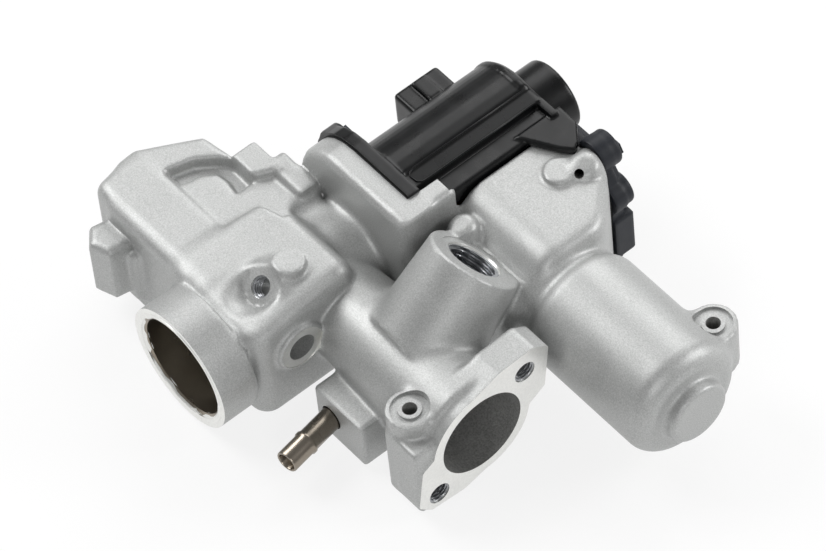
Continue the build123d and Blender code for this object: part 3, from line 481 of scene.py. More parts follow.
def dress(names, finish):
    """Gives CAD nodes a finish."""
    for name in names:
        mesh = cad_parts[name].data
        mesh.materials.clear()
        mesh.materials.append(finish)


# ---- sizes and colours that a user may change --------------------------------------------

class EGR_PG_finishes(bpy.types.PropertyGroup):
    """Colours of the finishes and the size of the casting's grain."""

    cast: FloatVectorProperty(
        name="Cast aluminium", description="Colour of the blasted casting",
        subtype="COLOR", size=3, min=0, max=1, default=linear("#B2B3B2"))
    machined: FloatVectorProperty(
        name="Machined aluminium", description="Colour of the milled and turned faces",
        subtype="COLOR", size=3, min=0, max=1, default=linear("#E9E9E6"))
    cover: FloatVectorProperty(
        name="Actuator cover", description="Colour of the black moulded cover",
        subtype="COLOR", size=3, min=0, max=1, default=linear("#060708"))
    side: FloatVectorProperty(
        name="Side cover", description="Colour of the slate moulded side cover",
        subtype="COLOR", size=3, min=0, max=1, default=linear("#1D2026"))
    grain: FloatProperty(
        name="Casting grain", description="Width of one grain of the blasted surface",
        subtype="DISTANCE", unit="LENGTH", default=0.00045, min=0.0001, max=0.002)


class EGR_PG_sizes(bpy.types.PropertyGroup):
    """Fineness of the skins and width of their fillets."""

    step: FloatProperty(
        name="Casting step", description="Spacing of the casting's grid of points",
        subtype="DISTANCE", unit="LENGTH", default=0.0009, min=0.0005, max=0.003)
    cover_step: FloatProperty(
        name="Cover step", description="Spacing of the covers' grids of points",
        subtype="DISTANCE", unit="LENGTH", default=0.0006, min=0.0004, max=0.002)
    blend: FloatProperty(
        name="Fillet width", description="Width of the fillet where two cast forms meet",
        subtype="DISTANCE", unit="LENGTH", default=0.004, min=0.0005, max=0.012)


# ---- finishes ---------------------------------------------------------------------------

class EGR_OT_finishes(bpy.types.Operator):
    """Makes every finish and gives each CAD node its own."""

    bl_idname = "egr.finishes"
    bl_label = "Finishes"

    def execute(self, context):
        f = context.scene.egr_finishes
        grain = f.grain / MM
        # high-pressure die-cast aluminium, bead blasted: soft light grey with a fine even
        # sparkle and no sharp reflection
        MATS["cast"] = grained("cast_aluminium_blasted", tuple(f.cast), 0.6, 0.5, grain, 0.22,
                               0.045, 14.0, 0.04, 0.05)
        # the same casting, rough as cast, in a darker grey that paints the shade inside bores, holes and
        # the gear case
        MATS["cored"] = grained("cast_aluminium_cored", linear("#8C8C8A"), 0.2, 0.7, 0.7, 0.3,
                                0.12, 6.0, 0.1)
        # aluminium faced off on a mill: near white with faint swirls
        MATS["milled"] = grained("aluminium_milled", tuple(f.machined), 0.9, 0.36, 0.9, 0.05,
                                 0.01, 8.0, 0.04)
        # glass-filled polyamide, moulded: near black, semi-gloss, faint flow mottle
        MATS["cover"] = grained("polyamide_moulded_black", tuple(f.cover), 0.0, 0.3, 0.5, 0.12,
                                0.006, 7.0, 0.08, 0.05, Specular_IOR_Level=0.32)
        # glass-filled polyamide with a matt texture: slate black
        MATS["side"] = grained("polyamide_textured_slate", tuple(f.side), 0.0, 0.5, 0.4, 0.14,
                               0.012, 6.0, 0.08, 0.05, Specular_IOR_Level=0.32)
        # drawn stainless tube: brown-grey with long soft reflections
        MATS["tube"] = grained("stainless_drawn", linear("#8E867B"), 1.0, 0.28, 0.6, 0.05,
                               0.003, 12.0, 0.06, 0.03)
        # turned stainless steel: brown-grey satin with short highlights
        MATS["turned"] = grained("stainless_turned", linear("#948C80"), 1.0, 0.3, 0.5, 0.04,
                                 0.004, 16.0, 0.08, 0.04)
        # stamped or ground machine steel: plain mid-grey satin
        MATS["steel"] = grained("steel_ground", linear("#A7A9AC"), 1.0, 0.33, 0.5, 0.05, 0.006)
        # zinc-nickel plated black steel: dark satin
        MATS["plated"] = grained("steel_plated_black", linear("#35363A"), 1.0, 0.38, 0.4, 0.1,
                                 0.01)
        # sintered bronze: warm, slightly porous
        MATS["bronze"] = grained("bronze_sintered", linear("#A9824F"), 1.0, 0.42, 0.3, 0.14, 0.02)
        # machined brass: warm yellow with a clear highlight
        MATS["brass"] = grained("brass_machined", linear("#CFAE6A"), 1.0, 0.28, 0.5, 0.05, 0.005)
        # natural acetal, moulded: waxy off-white
        MATS["acetal"] = grained("acetal_moulded", linear("#D8D3C4"), 0.0, 0.45, 0.6, 0.04, 0.006)
        # nitrile rubber, moulded: deep matt black
        MATS["rubber"] = grained("rubber_moulded", linear("#141415"), 0.0, 0.7, 0.4, 0.12, 0.015)
        # sintered ferrite: dark matt grey
        MATS["ferrite"] = grained("ferrite_sintered", linear("#3A3A3C"), 0.3, 0.6, 0.4, 0.12, 0.02)
        # glass epoxy board: green under a clear resist
        MATS["board"] = grained("board_epoxy", linear("#1F5B38"), 0.0, 0.35, 0.8, 0.1, 0.01)
        for finish, names in (
            ("cast", ["housing"]),
            ("cover", ["actuator_cover"]),
            ("side", ["side_cover"]),
            ("tube", ["coolant_pipe"]),
            ("turned", ["outlet_sleeve", "seat_ring", "poppet_valve", "return_spring",
                        "spring_retainer"]),
            ("steel", ["rack", "output_shaft", "idler_axle", "gear_plate", "motor_can",
                       "motor_end_plate", "motor_rotor"]),
            ("plated", ["cover_screws", "side_cover_screws", "plate_screws"]),
            ("bronze", ["stem_guide", "arm_bush", "plate_bush", "motor_front_bush",
                        "motor_rear_bush"]),
            ("brass", ["motor_pinion", "terminals"]),
            ("acetal", ["idler_gear", "output_gear"]),
            ("rubber", ["cover_gasket", "side_gasket", "stem_seal"]),
            ("ferrite", ["motor_magnets", "sensor_magnet"]),
            ("board", ["sensor_board"]),
        ):
            dress(names, MATS[finish])
        return {"FINISHED"}


# ---- cast body --------------------------------------------------------------------------
# Places and sizes are in millimetres on the CAD part's axes: x out of the inlet flange, y along
# the stem away from the outlet, z up. A span is a pair: where it starts and where it ends.

FLOOR_Z = -24.0                 # milled underside
VALVE_AXIS = (-85.5, 0.0)       # stem and outlet, x and z
MOTOR_AXIS = (53.0, 5.5)        # motor and barrel, y and z
OUTLET_Y = -55.0                # outlet face
CASE_X = -59.0                  # face of the gear case beside the rack
CASE_Y = 84.0                   # face under the side cover
CASE_SLOPE = 17.5               # the case's slanting roof lies where y - z is this
BARREL_X = -17.2                # shoulder where the barrel leaves the case
LEVEL = 0.98                    # turns a gently tilted plane's height into a distance
BOLT_SPACING, BOLT_ANGLE, BOLT_R = 48.4, math.radians(38.5), 4.05
BOLTS = [(side * BOLT_SPACING / 2 * math.cos(BOLT_ANGLE), side * BOLT_SPACING / 2 * math.sin(BOLT_ANGLE))
         for side in (1, -1)]
INLET_LUG, BARREL_LUG = (-14.0, -17.0), (26.0, 75.5)
LUG_R, LUG_TOP, LUG_HOLE_R = 8.0, 15.0, 2.5
PLUG_FOOT, PLUG_AXIS, PLUG_BORE_R = (-36.0, 0.0, 0.0), (0, COS45, COS45), 9.05
PLUG_FACE = 42.2                # along the plug's axis from its foot
PORT, PORT_FACE_X, PORT_BORE_R = (-23.2, 6.3), -60.2, 5.0
EAR, EAR_AXIS, EAR_BORE_R = (-79.5, -23.7, 21.1), (0, -COS45, COS45), 3.75
PIPE_FOOT = (-44.0, -27.0, -11.0)
PIPE_AXIS = (math.sin(math.radians(10)), -math.cos(math.radians(10)), 0)

# end of the actuator block, x and z: straight sides and a round shoulder
ARCH = [(-57.5, -24), (-57.5, 36), (-92, 36), (-97.2, 35.3), (-102, 33.3), (-106.1, 30.1),
        (-109.3, 26), (-111.3, 21.2), (-112, 16), (-112, -6), (-96, -24)]
# flange lobes, y and z; the lower one is measured on turned axes
LOBE = [(12.0, -6.0), (25.4, 2.0), (28.0, 19.5), (22.8, 23.2), (9.0, 22.6), (-6.0, 17.0)]
LOW_LOBE = [(12.0, -6.0), (23.4, 0.0), (26.2, 15.4), (21.8, 19.8), (9.0, 21.0), (-6.0, 17.0)]
# water box, its groove and its sunken sheet, x and y
BOX_PLAN = [(-100, -38.5), (-140, -38), (-148, -33), (-152.6, -25), (-153, -18), (-141, 2),
            (-128, 4), (-127, 11), (-116, 11), (-116, 14), (-100, 14)]
GROOVE = [(-138.3, -15.6), (-135.5, -7.0), (-131.1, -1.1), (-125.9, 2.6), (-116.8, 2.4),
          (-116.8, -4.0), (-122.4, -2.8), (-127.4, -3.4), (-130.6, -8.1), (-131.8, -15.0)]
SUNK = [(-137.5, -16.6), (-134.0, -6.5), (-128.0, 0.5), (-117.0, 0.5), (-113.0, 9.0),
        (-96.0, 9.0), (-96.0, -1.0), (-105.5, -4.0), (-107.0, -16.6)]


def hexagon(centre, across_x, across_y, start):
    """Six corners round a centre, the first at start degrees."""
    return [(centre[0] + across_x * math.cos(w), centre[1] + across_y * math.sin(w))
            for w in np.radians(start + 60 * np.arange(6))]


def join_channel(f, blend):
    """Valve body, stem housing, neck to the flange and outlet tube."""
    x, y, z = f.x, f.y, f.z
    body_top, fall_from, fall = 24, -16, 0.19
    body = block(f, (-108, -40, FLOOR_Z), (-63.3, 4, body_top), 7.0)
    f.join(soft_max(body, (z - body_top - (y - fall_from) * fall) * LEVEL, 4), 0)
    f.join(capped(disc(x, z, VALVE_AXIS, 17.5), between(y, -6, 22), 1), blend)
    # neck: narrower where it meets the body, to leave the side port clear
    f.join(leaning(f, (0, 0, 0), (-1, 0, 0), 5, 78, 20.6, 15.4, 1), 1.8)
    # outlet tube: its back edge stands proud of the body
    f.join(capped(disc(x, z, VALVE_AXIS, 22.9), between(y, -57, -40.5), 1.3), 2.2)


def join_water_box(f, blend):
    """Water box: plan outline under a ridged top, blocks behind it, groove and sunken sheet."""
    x, y, z = f.x, f.y, f.z
    box_top, ridge_y, lean = 20.5, -17, 0.16
    front = (z - box_top + (ridge_y - y) * lean) * LEVEL
    top = soft_max(z - box_top, front, 3)
    f.join(soft_max(soft_max(outline(x, y, BOX_PLAN), top, 3.2), -24.5 - z, 1), blend)
    f.join(block(f, (-151, -37.5, FLOOR_Z), (-90, ridge_y, 19.5), 4.5), 4)
    f.join(block(f, (-127.4, 2, FLOOR_Z), (-112, 12.2, 21.6), 0.6), 1.0)
    f.join(block(f, (-117.6, 8, FLOOR_Z), (-100, 16.2, 21.2), 0.6), 1.0)
    # ramp from the blocks down to the valve body
    ramp_top, fall_x, fall_y, ramp_level = 20.6, 0.2, 0.17, 0.95
    ramp = (z - ramp_top + fall_x * (x + 116) + fall_y * (12 - y)) * ramp_level
    sides = np.maximum(np.abs(x + 103) - 12.5, np.abs(y - 6.0) - 9.5)
    f.join(np.maximum(soft_max(ramp, sides, 3.0), FLOOR_Z - z), 3.0)
    # the groove's floor is level; the sheet's falls to the back and runs out towards the body
    groove_z, sheet_z, fall, rise = 15.2, 18.4, 0.06, 0.05
    f.cut(soft_max(outline(x, y, GROOVE), groove_z - z, 1.6), 1.6)
    sheet = sheet_z - z - (y - ridge_y) * fall + (x + 137.5) * rise
    f.cut(soft_max(outline(x, y, SUNK), sheet, 2.0), 2.4)
    # round pad on the body
    f.join(capped(disc(x, y, (-77.8, -12.8), 5.4), between(z, 16, 27.2), 0.5), 1.2)


def join_block_and_case(f, blend):
    """Actuator block with its step, gear case, and motor barrel in front of the case."""
    x, y, z = f.x, f.y, f.z
    f.join(capped(outline(x, z, ARCH), between(y, 18, 34), 3.2), blend - 1)
    f.join(block(f, (-67, 18.5, FLOOR_Z), (-57.5, 41.5, 36), 2.6), 0.5)
    # gear case: slanting roof and cut-back far corner
    far_x, corner = -18, 51.0
    profile = soft_max(np.abs(z - 3) - 27, np.abs(y - 57) - 29, 5)
    profile = soft_max(profile, (z - y + CASE_SLOPE) * COS45, 4)
    ends = soft_max(x - far_x, (x + y - corner) * COS45, 4)
    f.join(soft_max(soft_max(profile, ends, 6), CASE_X - x, 1.2), 2.5)
    # motor barrel, with a shallow groove where it leaves the case
    f.join(capped(disc(y, z, MOTOR_AXIS, 19.8), between(x, -26, 30), 1), 2.4)
    shell = capped(disc(y, z, MOTOR_AXIS, 21.6), between(x, BARREL_X, 40), 7.0)
    f.join(soft_max(shell, BARREL_X - x, 1.6), 0.7)
    f.join(capped(disc(y, z, MOTOR_AXIS, 11.5), between(x, 30, 45), 1.8), 2.5)


def join_flange_and_lugs(f):
    """Inlet flange with its two lobes, and the two lugs with the inlet lug's foot."""
    x, y, z = f.x, f.y, f.z
    grown = 1.05
    flat = np.minimum(disc(y, z, (0, 0), 18.6),
                      np.minimum(outline(y, z, LOBE), outline(-y, -z, LOW_LOBE)))
    f.join(capped(flat - grown, between(x, -11.5, 2), 1.6), 2.6)
    f.join(capped(disc(x, y, INLET_LUG, LUG_R), between(z, -22, LUG_TOP), 0.5), 1.6)
    f.join(block(f, (-17, -26, -21), (-1, -8, 9), 1.2), 1.6)
    f.join(capped(disc(x, y, BARREL_LUG, LUG_R), between(z, -4, LUG_TOP), 0.5), 4)


def join_plug_socket(f):
    """Slanting socket for the plug, faced off clear of the case's roof, and the post by it."""
    roof = (f.y - f.z - CASE_SLOPE + 0.1) * COS45
    f.join(leaning(f, PLUG_FOOT, PLUG_AXIS, 10, PLUG_FACE + 0.4, 18.9, 16.1, 0.3), 3.2)
    above = leaning(f, PLUG_FOOT, PLUG_AXIS, PLUG_FACE, 80, 19, 19, 0)
    f.cut(np.maximum(above, roof), 0.3)
    f.join(leaning(f, (-50.5, 38.5, 18), (0, -0.2, 1), -20, 10.8, 10.5, 4.4, 2.2), 2.0)


def join_bosses(f):
    """Side port, ear, corner boss, pipe block and the pads on the case's roof."""
    x, y, z = f.x, f.y, f.z
    f.join(capped(disc(y, z, PORT, 9.0), between(x, -76, PORT_FACE_X - 0.7), 1.0), 1.6)
    f.join(leaning(f, EAR, EAR_AXIS, -9, 0.4, 10.5, 7.4, 1.2), 3.4)
    # corner boss: a six-sided cap in front of a lower six-sided skirt
    skirt = outline(x, y, hexagon((-133.4, -37.4), 11.0, 10.6, 10)) + 1.2
    cap = outline(x, y, hexagon((-136.0, -42.6), 9.6, 9.2, 20)) + 1.2
    f.join(capped(soft_max(skirt, -41.5 - y, 2.0), between(z, -17, 7.0), 1.2), 1.6)
    f.join(capped(cap, between(z, -14, 11.6), 2.8), 1.2)
    f.join(block(f, (-52, -27, -22), (-28, -6, -2), 1.0), 2.0)
    f.join(capped(disc(x, y, (-43.5, 72), 5.3), between(z, 22, 32), 0.6), 1.8)
    f.join(capped(disc(x, z, (-41, 27.5), 5.6), between(y, 74, 86), 2.4), 2)
    f.join(leaning(f, (-41.3, 82.1, 22), (0.2, -0.3, 0.93), 0, 12.4, 7.0, 4.8, 2.4), 1.2)
    # soft dish round the ear's hole
    f.cut(leaning(f, EAR, EAR_AXIS, 0.4, 20, 6.6, 12.5, 0), 2.4)


def cast_field(step, blend):
    """Every cast form joined in turn, each meeting the ones before it in a fillet."""
    f = Field((-158, -60, -27), (50, 89, 43), step)
    join_channel(f, blend)
    join_water_box(f, blend)
    join_block_and_case(f, blend)
    join_flange_and_lugs(f)
    join_plug_socket(f)
    join_bosses(f)
    return f


def leaning_bar(name, foot, axis, span, r, finish):
    """Round bar over a span of a leaning axis through foot."""
    a, b = span
    return lathe(name, [(0, a), (r, a), (r, b), (0, b)], foot, axis, finish, turns=72)


def gear_cavity():
    """Inside of the gear case: its profile a wall in from the outside, kept within its plan."""
    # the cavity's walls take the darker grey that paints the shade inside the case
    cored = MATS["cored"]
    near, roof, bottom, wall = 33.8, 26.2, -19.8, 2.45
    slope = CASE_SLOPE + wall * math.sqrt(2)
    profile = [(near, bottom), (near, near - slope), (roof + slope, roof), (86, roof), (86, bottom)]
    plan = [(-60, 33), (-22.0, 33), (-22.0, 66.0), (-40.6, 82), (-40.6, 90), (-60, 90)]
    cavity = prism("cavity", profile, "yz", -59.5, -22.5, cored)
    return carve(cavity, [prism("plan", plan, "xy", -30, 30, cored)], "INTERSECT")


def cast_cutters():
    """Every face and bore of the casting, in the order they are cut, each with its finish."""
    milled, cored, cast = MATS["milled"], MATS["cored"], MATS["cast"]
    # cuts in the darker grey finish paint the shade inside the inlet bore, dome hole, gear cavity and
    # lug holes
    valve_x, valve_z = VALVE_AXIS
    inlet = [(0, 4), (16, 4), (16, -14), (14, -85.5), (0, -85.5)]
    # from the stem guide down: gas room, seat step, sleeve step, outlet mouth
    outlet = [(0, 8), (14, 8), (14, -16), (15.5, -16), (15.5, -21), (15.8, -21), (15.8, -38),
              (18.25, -38), (18.25, -40.4), (19.5, -40.4), (19.5, -60), (0, -60)]
    lead = [(0, 42.6), (10.0, 42.6), (9.0, 41.0), (0, 41.0)]
    cuts = [
        slab("floor", "xy", (-200, 90), (-100, 120), (-60, FLOOR_Z), milled),
        slab("inlet_face", "yz", (-40, 30.6), (-40, 40), (0, 6), milled),
        slab("outlet_face", "xz", (-125, -50), (-40, 40), (-70, OUTLET_Y), milled),
        slab("block_face", "xz", (-130, -65), (-40, 60), (26.7, 60), milled),
        leaning_bar("dome_hole", (-39.9, 77.2, 30), (0.6, -0.5, 0.62), (-5, 9), 1.6, cored),
        slab("step_face", "xz", (-66, CASE_X), (-40, 60), (39, 60), milled),
        slab("side_face", "xz", (-70, 0), (-40, 60), (CASE_Y, 90), milled),
        lathe("inlet_bore", inlet, (0, 0, 0), (1, 0, 0), cored),
        lathe("valve_bore", outlet, (valve_x, 0, valve_z), (0, 1, 0), milled),
        bar("guide_bore", "xz", VALVE_AXIS, 7.5, 5, 25, milled),
        slab("spring_pocket", "xz", (-98.5, -66), (-12, 30), (24, 40), milled),
        gear_cavity(),
        bar("motor_bore", "yz", MOTOR_AXIS, 18.0, -23, 34, milled),
        leaning_bar("plug_face", PLUG_FOOT, PLUG_AXIS, (42, 58), 12.3, cast),
        lathe("plug_lead", lead, PLUG_FOOT, PLUG_AXIS, milled),
        leaning_bar("plug_bore", PLUG_FOOT, PLUG_AXIS, (8, 50), PLUG_BORE_R, milled),
        bar("port_face", "yz", PORT, 8.2, -61.3, PORT_FACE_X, milled),
        bar("port_bore", "yz", PORT, PORT_BORE_R, -68.4, PORT_FACE_X, cast),
        leaning_bar("ear_bore", EAR, EAR_AXIS, (-5, 20), EAR_BORE_R, milled),
        leaning_bar("pipe_bore", PIPE_FOOT, PIPE_AXIS, (-8, 20), 4.4, milled),
    ]
    for place in BOLTS:
        cuts.append(bar("bolt", "yz", place, BOLT_R, -11, 5, milled))
    # lugs: a sunk ring round the hole, in a face cleared of the barrel's side
    ring = [(3.9, 14.0), (6.5, 14.0), (6.5, 17), (3.9, 17)]
    for place in (INLET_LUG, BARREL_LUG):
        cuts.append(lathe("lug_ring", ring, (*place, 0), (0, 0, 1), cast))
        cuts.append(bar("lug_clear", "xy", place, 6.6, LUG_TOP + 0.01, 24, cast))
        cuts.append(bar("lug_hole", "xy", place, LUG_HOLE_R, -1, 20, cored))
    return cuts


class EGR_OT_casting(bpy.types.Operator):
    """Cast body: blended skin from a distance field, then every bore and face cut crisp."""

    bl_idname = "egr.casting"
    bl_label = "Cast body"

    def execute(self, context):
        sizes = context.scene.egr_sizes
        step = sizes.step / MM * 1.0
        points, faces = net(cast_field(step, sizes.blend / MM))
        skin = piece("cast_body", points, faces, MATS["cast"])
        clean_mesh(skin)
        carve(skin, cast_cutters())
        drop_slivers(skin)
        lighten(skin, 190000)
        smooth(skin)
        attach(skin, ROOT)
        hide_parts("housing")
        return {"FINISHED"}


# ---- coolant pipe and the outlet's lip -----------------------------------------------------

class EGR_OT_pipe(bpy.types.Operator):
    """Coolant pipe with its bead: one closed wall profile carried round the pipe's axis."""

    bl_idname = "egr.pipe"
    bl_label = "Coolant pipe"

    def execute(self, context):
        bore, outer, bead_r = 3.1, 4.0, 4.4
        start, mouth = -7.0, 22.2
        wall = [(bore, start), (outer, start), (outer, 11.4), (bead_r, 12.0), (bead_r, 13.0),
                (outer, 13.6), (outer, mouth - 0.3), (outer - 0.2, mouth), (bore + 0.2, mouth),
                (bore, mouth - 0.3)]
        pipe = lathe("pipe_skin", wall, PIPE_FOOT, PIPE_AXIS, MATS["tube"])
        smooth(pipe, 40.0)
        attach(pipe, ROOT)
        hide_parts("coolant_pipe")
        return {"FINISHED"}


class EGR_OT_lip(bpy.types.Operator):
    """Lip rolled over the steel sleeve by the staking punch.

    A lathed ring whose inner points move outwards: by five blunt dents, where a cosine of five
    times the angle passes 0.86, and by a low ripple of two sines.
    """

    bl_idname = "egr.lip"
    bl_label = "Staked lip"

    def execute(self, context):
        valve_x, valve_z = VALVE_AXIS
        lip = [(18.3, 53.4), (18.9, 54.6), (19.9, 55.1), (21.0, 55.15), (21.4, 54.4), (20.2, 53.4)]
        inner_r = 20.6
        ring = lathe("staked_lip", lip, (valve_x, 0, valve_z), (0, -1, 0), MATS["milled"], turns=180)
        for v in ring.data.vertices:
            dx, dz = v.co.x - valve_x * MM, v.co.z
            angle, reach = math.atan2(dz, dx), math.hypot(dx, dz)
            dent = max(0.0, math.cos(angle * 5 + 0.6 * math.sin(angle * 2)) - 0.86) * 6.0
            ripple = 0.12 * math.sin(angle * 7) + 0.08 * math.sin(angle * 17 + 1)
            if reach < inner_r * MM:
                grow = 1 + (dent + ripple) * MM / reach
                v.co.x = dx * grow + valve_x * MM
                v.co.z = dz * grow
        smooth(ring, 50.0)
        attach(ring, ROOT)
        return {"FINISHED"}


# ---- threads ------------------------------------------------------------------------------

def thread(name, foot, axis, span, major, minor, pitch):
    """Female thread over a span of its axis.

    The wall's radius is minor plus the thread height times a flat-topped triangle wave of
    (height / pitch - angle / turn); an outer wall and two end rings close it.
    """
    a, b = span
    turns, rows, wall_t = 72, int((b - a) / pitch * 10) + 1, 0.4
    angle = np.linspace(0, 2 * math.pi, turns, endpoint=False)
    height = np.linspace(a, b, rows)
    wave = (height[:, None] / pitch - angle[None, :] / (2 * math.pi)) % 1.0
    wave = np.clip(1.35 - np.abs(wave - 0.5) * 4, 0, 1)
    wall = minor + (major - minor) * wave
    wall[0] = wall[-1] = major
    radius = np.vstack([wall, np.full((2, turns), major + wall_t)])
    level = np.concatenate([height, [b, a]])
    axis = np.array(axis, float) / np.linalg.norm(axis)
    side = np.cross(axis, (1, 0, 0) if abs(axis[0]) < 0.9 else (0, 1, 0))
    side /= np.linalg.norm(side)
    other = np.cross(axis, side)
    ring = np.cos(angle)[:, None] * side + np.sin(angle)[:, None] * other
    points = (np.array(foot, float) + level[:, None, None] * axis
              + radius[:, :, None] * ring[None]).reshape(-1, 3)
    i, j = np.meshgrid(np.arange(rows + 2), np.arange(turns), indexing="ij")
    k, m = (i + 1) % (rows + 2), (j + 1) % turns
    faces = np.stack([i * turns + j, i * turns + m, k * turns + m, k * turns + j], -1)
    made = piece(name, points, faces.reshape(-1, 4)[:, ::-1], MATS["steel"])
    smooth(made, 40.0)
    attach(made, ROOT)


class EGR_OT_threads(bpy.types.Operator):
    """Threads of the plug port, the ear and the two flange holes."""

    bl_idname = "egr.threads"
    bl_label = "Threads"

    def execute(self, context):
        thread("plug_thread", PLUG_FOOT, PLUG_AXIS, (15, 41.4), 9.0, 8.0, 1.8)
        thread("ear_thread", EAR, EAR_AXIS, (-5, -0.4), EAR_BORE_R, 3.1, 1.25)
        for n, place in enumerate(BOLTS, 1):
            thread(f"bolt_thread_{n}", (0, *place), (1, 0, 0), (-10.6, -0.6), 4.0, 3.4, 1.25)
        return {"FINISHED"}


# ---- return spring ------------------------------------------------------------------------

class EGR_OT_spring(bpy.types.Operator):
    """Return spring: round wire along a helix about the stem, its angle growing evenly with its
    height."""

    bl_idname = "egr.spring"
    bl_label = "Return spring"

    def execute(self, context):
        wire_r, coils, travel, steps = 1.0, 6, 8.0, 288
        shy = 0.94                      # the wire is this share of its room, so it touches nothing
        low, high = (np.array(corner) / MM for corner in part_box("return_spring"))
        length = high[1] - low[1]
        centre_x = (low[0] + high[0]) / 2
        coil_r = (high[0] - low[0]) / 2 - wire_r
        share = np.linspace(0, 1, steps + 1)
        angle = share * coils * 2 * math.pi
        along = low[1] + wire_r + share * (length - 2 * wire_r)
        line = np.stack([centre_x + coil_r * np.cos(angle), along, coil_r * np.sin(angle)], 1)
        coil = bead("coil_spring", line, wire_r * shy, MATS["turned"], across=(0, 1, 0))
        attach(coil, ROOT)
        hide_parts("return_spring")
        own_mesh(coil)
        return {"FINISHED"}


# ---- actuator cover -------------------------------------------------------------------------

DRUM, DRUM_R = (-79.0, 15.5), 21.5      # round part of the cover, x and z
COVER_Y, PANEL_END_Y = 86.0, 81.8
SEAT_Y = 27.2                           # the cover's face on the actuator block
# outline from the left foot up, round the drum, and down its stepped right side, x and z
CUP = ([(-100.5, -13.0), (-100.5, 15.5)]
       + [(DRUM[0] + DRUM_R * math.cos(w), DRUM[1] + DRUM_R * math.sin(w))
          for w in np.radians(np.linspace(180, 98, 14))[1:]]
       + [(-78.4, 36.9), (-74.2, 36.4), (-73.2, 35.4), (-67.8, 34.8), (-67.2, 32.2), (-59.6, 31.6),
          (-59.4, -13.0)])
EAR_PLATE = [(-63, 69.5), (-63, 88.8), (-54, 88.6), (-47.5, 83.5), (-45.6, 80.5), (-49.5, 77.2)]
COVER_ROOM = [(-98.5, -11), (-98.5, 15.5), (-93, 29.5), (-79, 35), (-74, 34.2), (-69, 32),
              (-61.4, 29.6), (-61.4, -11)]
COVER_SCREWS = [(-105.5, 25.5), (-105.5, -6.0), (-70.5, -18.0)]


def cover_field(step):
    """Flange band round the block's end, drum with its stepped edge, cap, socket and ear."""
    f = Field((-116, 26, -27), (-44, 103, 41), step)
    x, y, z = f.x, f.y, f.z
    band = soft_max(outline(x, z, ARCH) - 1.5, x + 63.8, 1.2)
    f.join(capped(band, between(y, 26, 31.9), 0.9), 0)
    cup = outline(x, z, CUP)
    f.join(capped(cup, between(y, 24, COVER_Y), 2.0), 0.8)
    # raised rim round the far end of the drum, and the border of the flat panel
    f.join(capped(soft_max(cup - 0.4, x + 74.6, 0.4), between(y, 82.2, 84.6), 0.4), 0.5)
    f.join(block(f, (-74.6, 83.2, 28), (-60.2, 86.2, 34.4), 0.5), 0.6)
    # skirt over the block's step and the gear case
    f.join(block(f, (-67.6, 38.6, 26.0), (-59.6, COVER_Y, 32.2), 0.7), 0.5)
    # round cap
    f.join(capped(disc(x, z, DRUM, 13), between(y, 82, 100), 1.3), 1.0)
    # ear over the far corner of the gear case
    f.join(capped(outline(x, y, EAR_PLATE), between(z, 30.2, 33.0), 0.6), 0.5)
    # plug socket with its lock rib
    f.join(block(f, (-110, 56.8, 8.0), (-96, 75.2, 23.0), 1.4), 1.0)
    f.join(block(f, (-108.6, 63.6, 20), (-99, 69.4, 24.6), 0.5), 0.4)
    # round lugs under the screws
    for place in COVER_SCREWS:
        f.join(capped(disc(x, z, place, 5.6), between(y, 27, 33.2), 0.7), 0.8)
    return f


class EGR_OT_cover(bpy.types.Operator):
    """Actuator cover: moulded skin from a distance field, hollow as the real one."""

    bl_idname = "egr.cover"
    bl_label = "Actuator cover"

    def execute(self, context):
        step = context.scene.egr_sizes.cover_step / MM * 1.0
        points, faces = net(cover_field(step))
        finish = MATS["cover"]
        skin = piece("cover_shell", points, faces, finish)
        clean_mesh(skin)
        carve(skin, [
            slab("below", "xz", (-200, 0), (-60, FLOOR_Z), (20, 110), finish),
            slab("seat", "xz", (-130, -40), (-40, 60), (10, SEAT_Y), finish),
            slab("beside", "xz", (-65.0, -40), (-40, 60), (20, 39.3), finish),
            slab("gear_side", "xz", (-59.2, -40), (-40, 30.3), (20, 110), finish),
            prism("hollow", COVER_ROOM, "xz", 20, CASE_Y, finish),
            slab("gear_mouth", "xz", (-70, -50), (-11, 26), (39.4, 83), finish),
            slab("socket", "yz", (58.6, 73.4), (9.8, 21.2), (-112, -100.5), finish),
        ])
        drop_slivers(skin)
        lighten(skin, 190000)
        smooth(skin, 32.0)
        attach(skin, ROOT)
        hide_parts("actuator_cover")
        return {"FINISHED"}


class EGR_OT_cover_lines(bpy.types.Operator):
    """Raised lines of the cover's mould, as thin wire laid on it: the flat panel's border, round
    its near end, and the skirt's border."""

    bl_idname = "egr.cover_lines"
    bl_label = "Cover lines"

    def execute(self, context):
        line_r, end = 0.28, PANEL_END_Y
        panel = [(-73.7, y, 36.0) for y in (end, 60, 36.5)]
        panel += [(-73.2, 34.4, 35.7), (-71.8, 33.6, 35.35), (-69.3, 34.0, 35.1), (-68.0, 35.6, 34.95)]
        panel += [(-67.9, y, 34.9) for y in (38.5, 60, end)]
        skirt = [(-66.9, end, 32.3), (-66.9, 41.4, 32.3), (-65.6, 40.2, 32.15),
                 (-61.6, 40.0, 31.75), (-60.4, 41.4, 31.6), (-60.4, 84.0, 31.6)]
        for name, line in (("panel_line", panel), ("skirt_line", skirt)):
            made = bead(name, line, line_r, MATS["cover"])
            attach(made, ROOT)
        return {"FINISHED"}


# ---- side cover -------------------------------------------------------------------------------

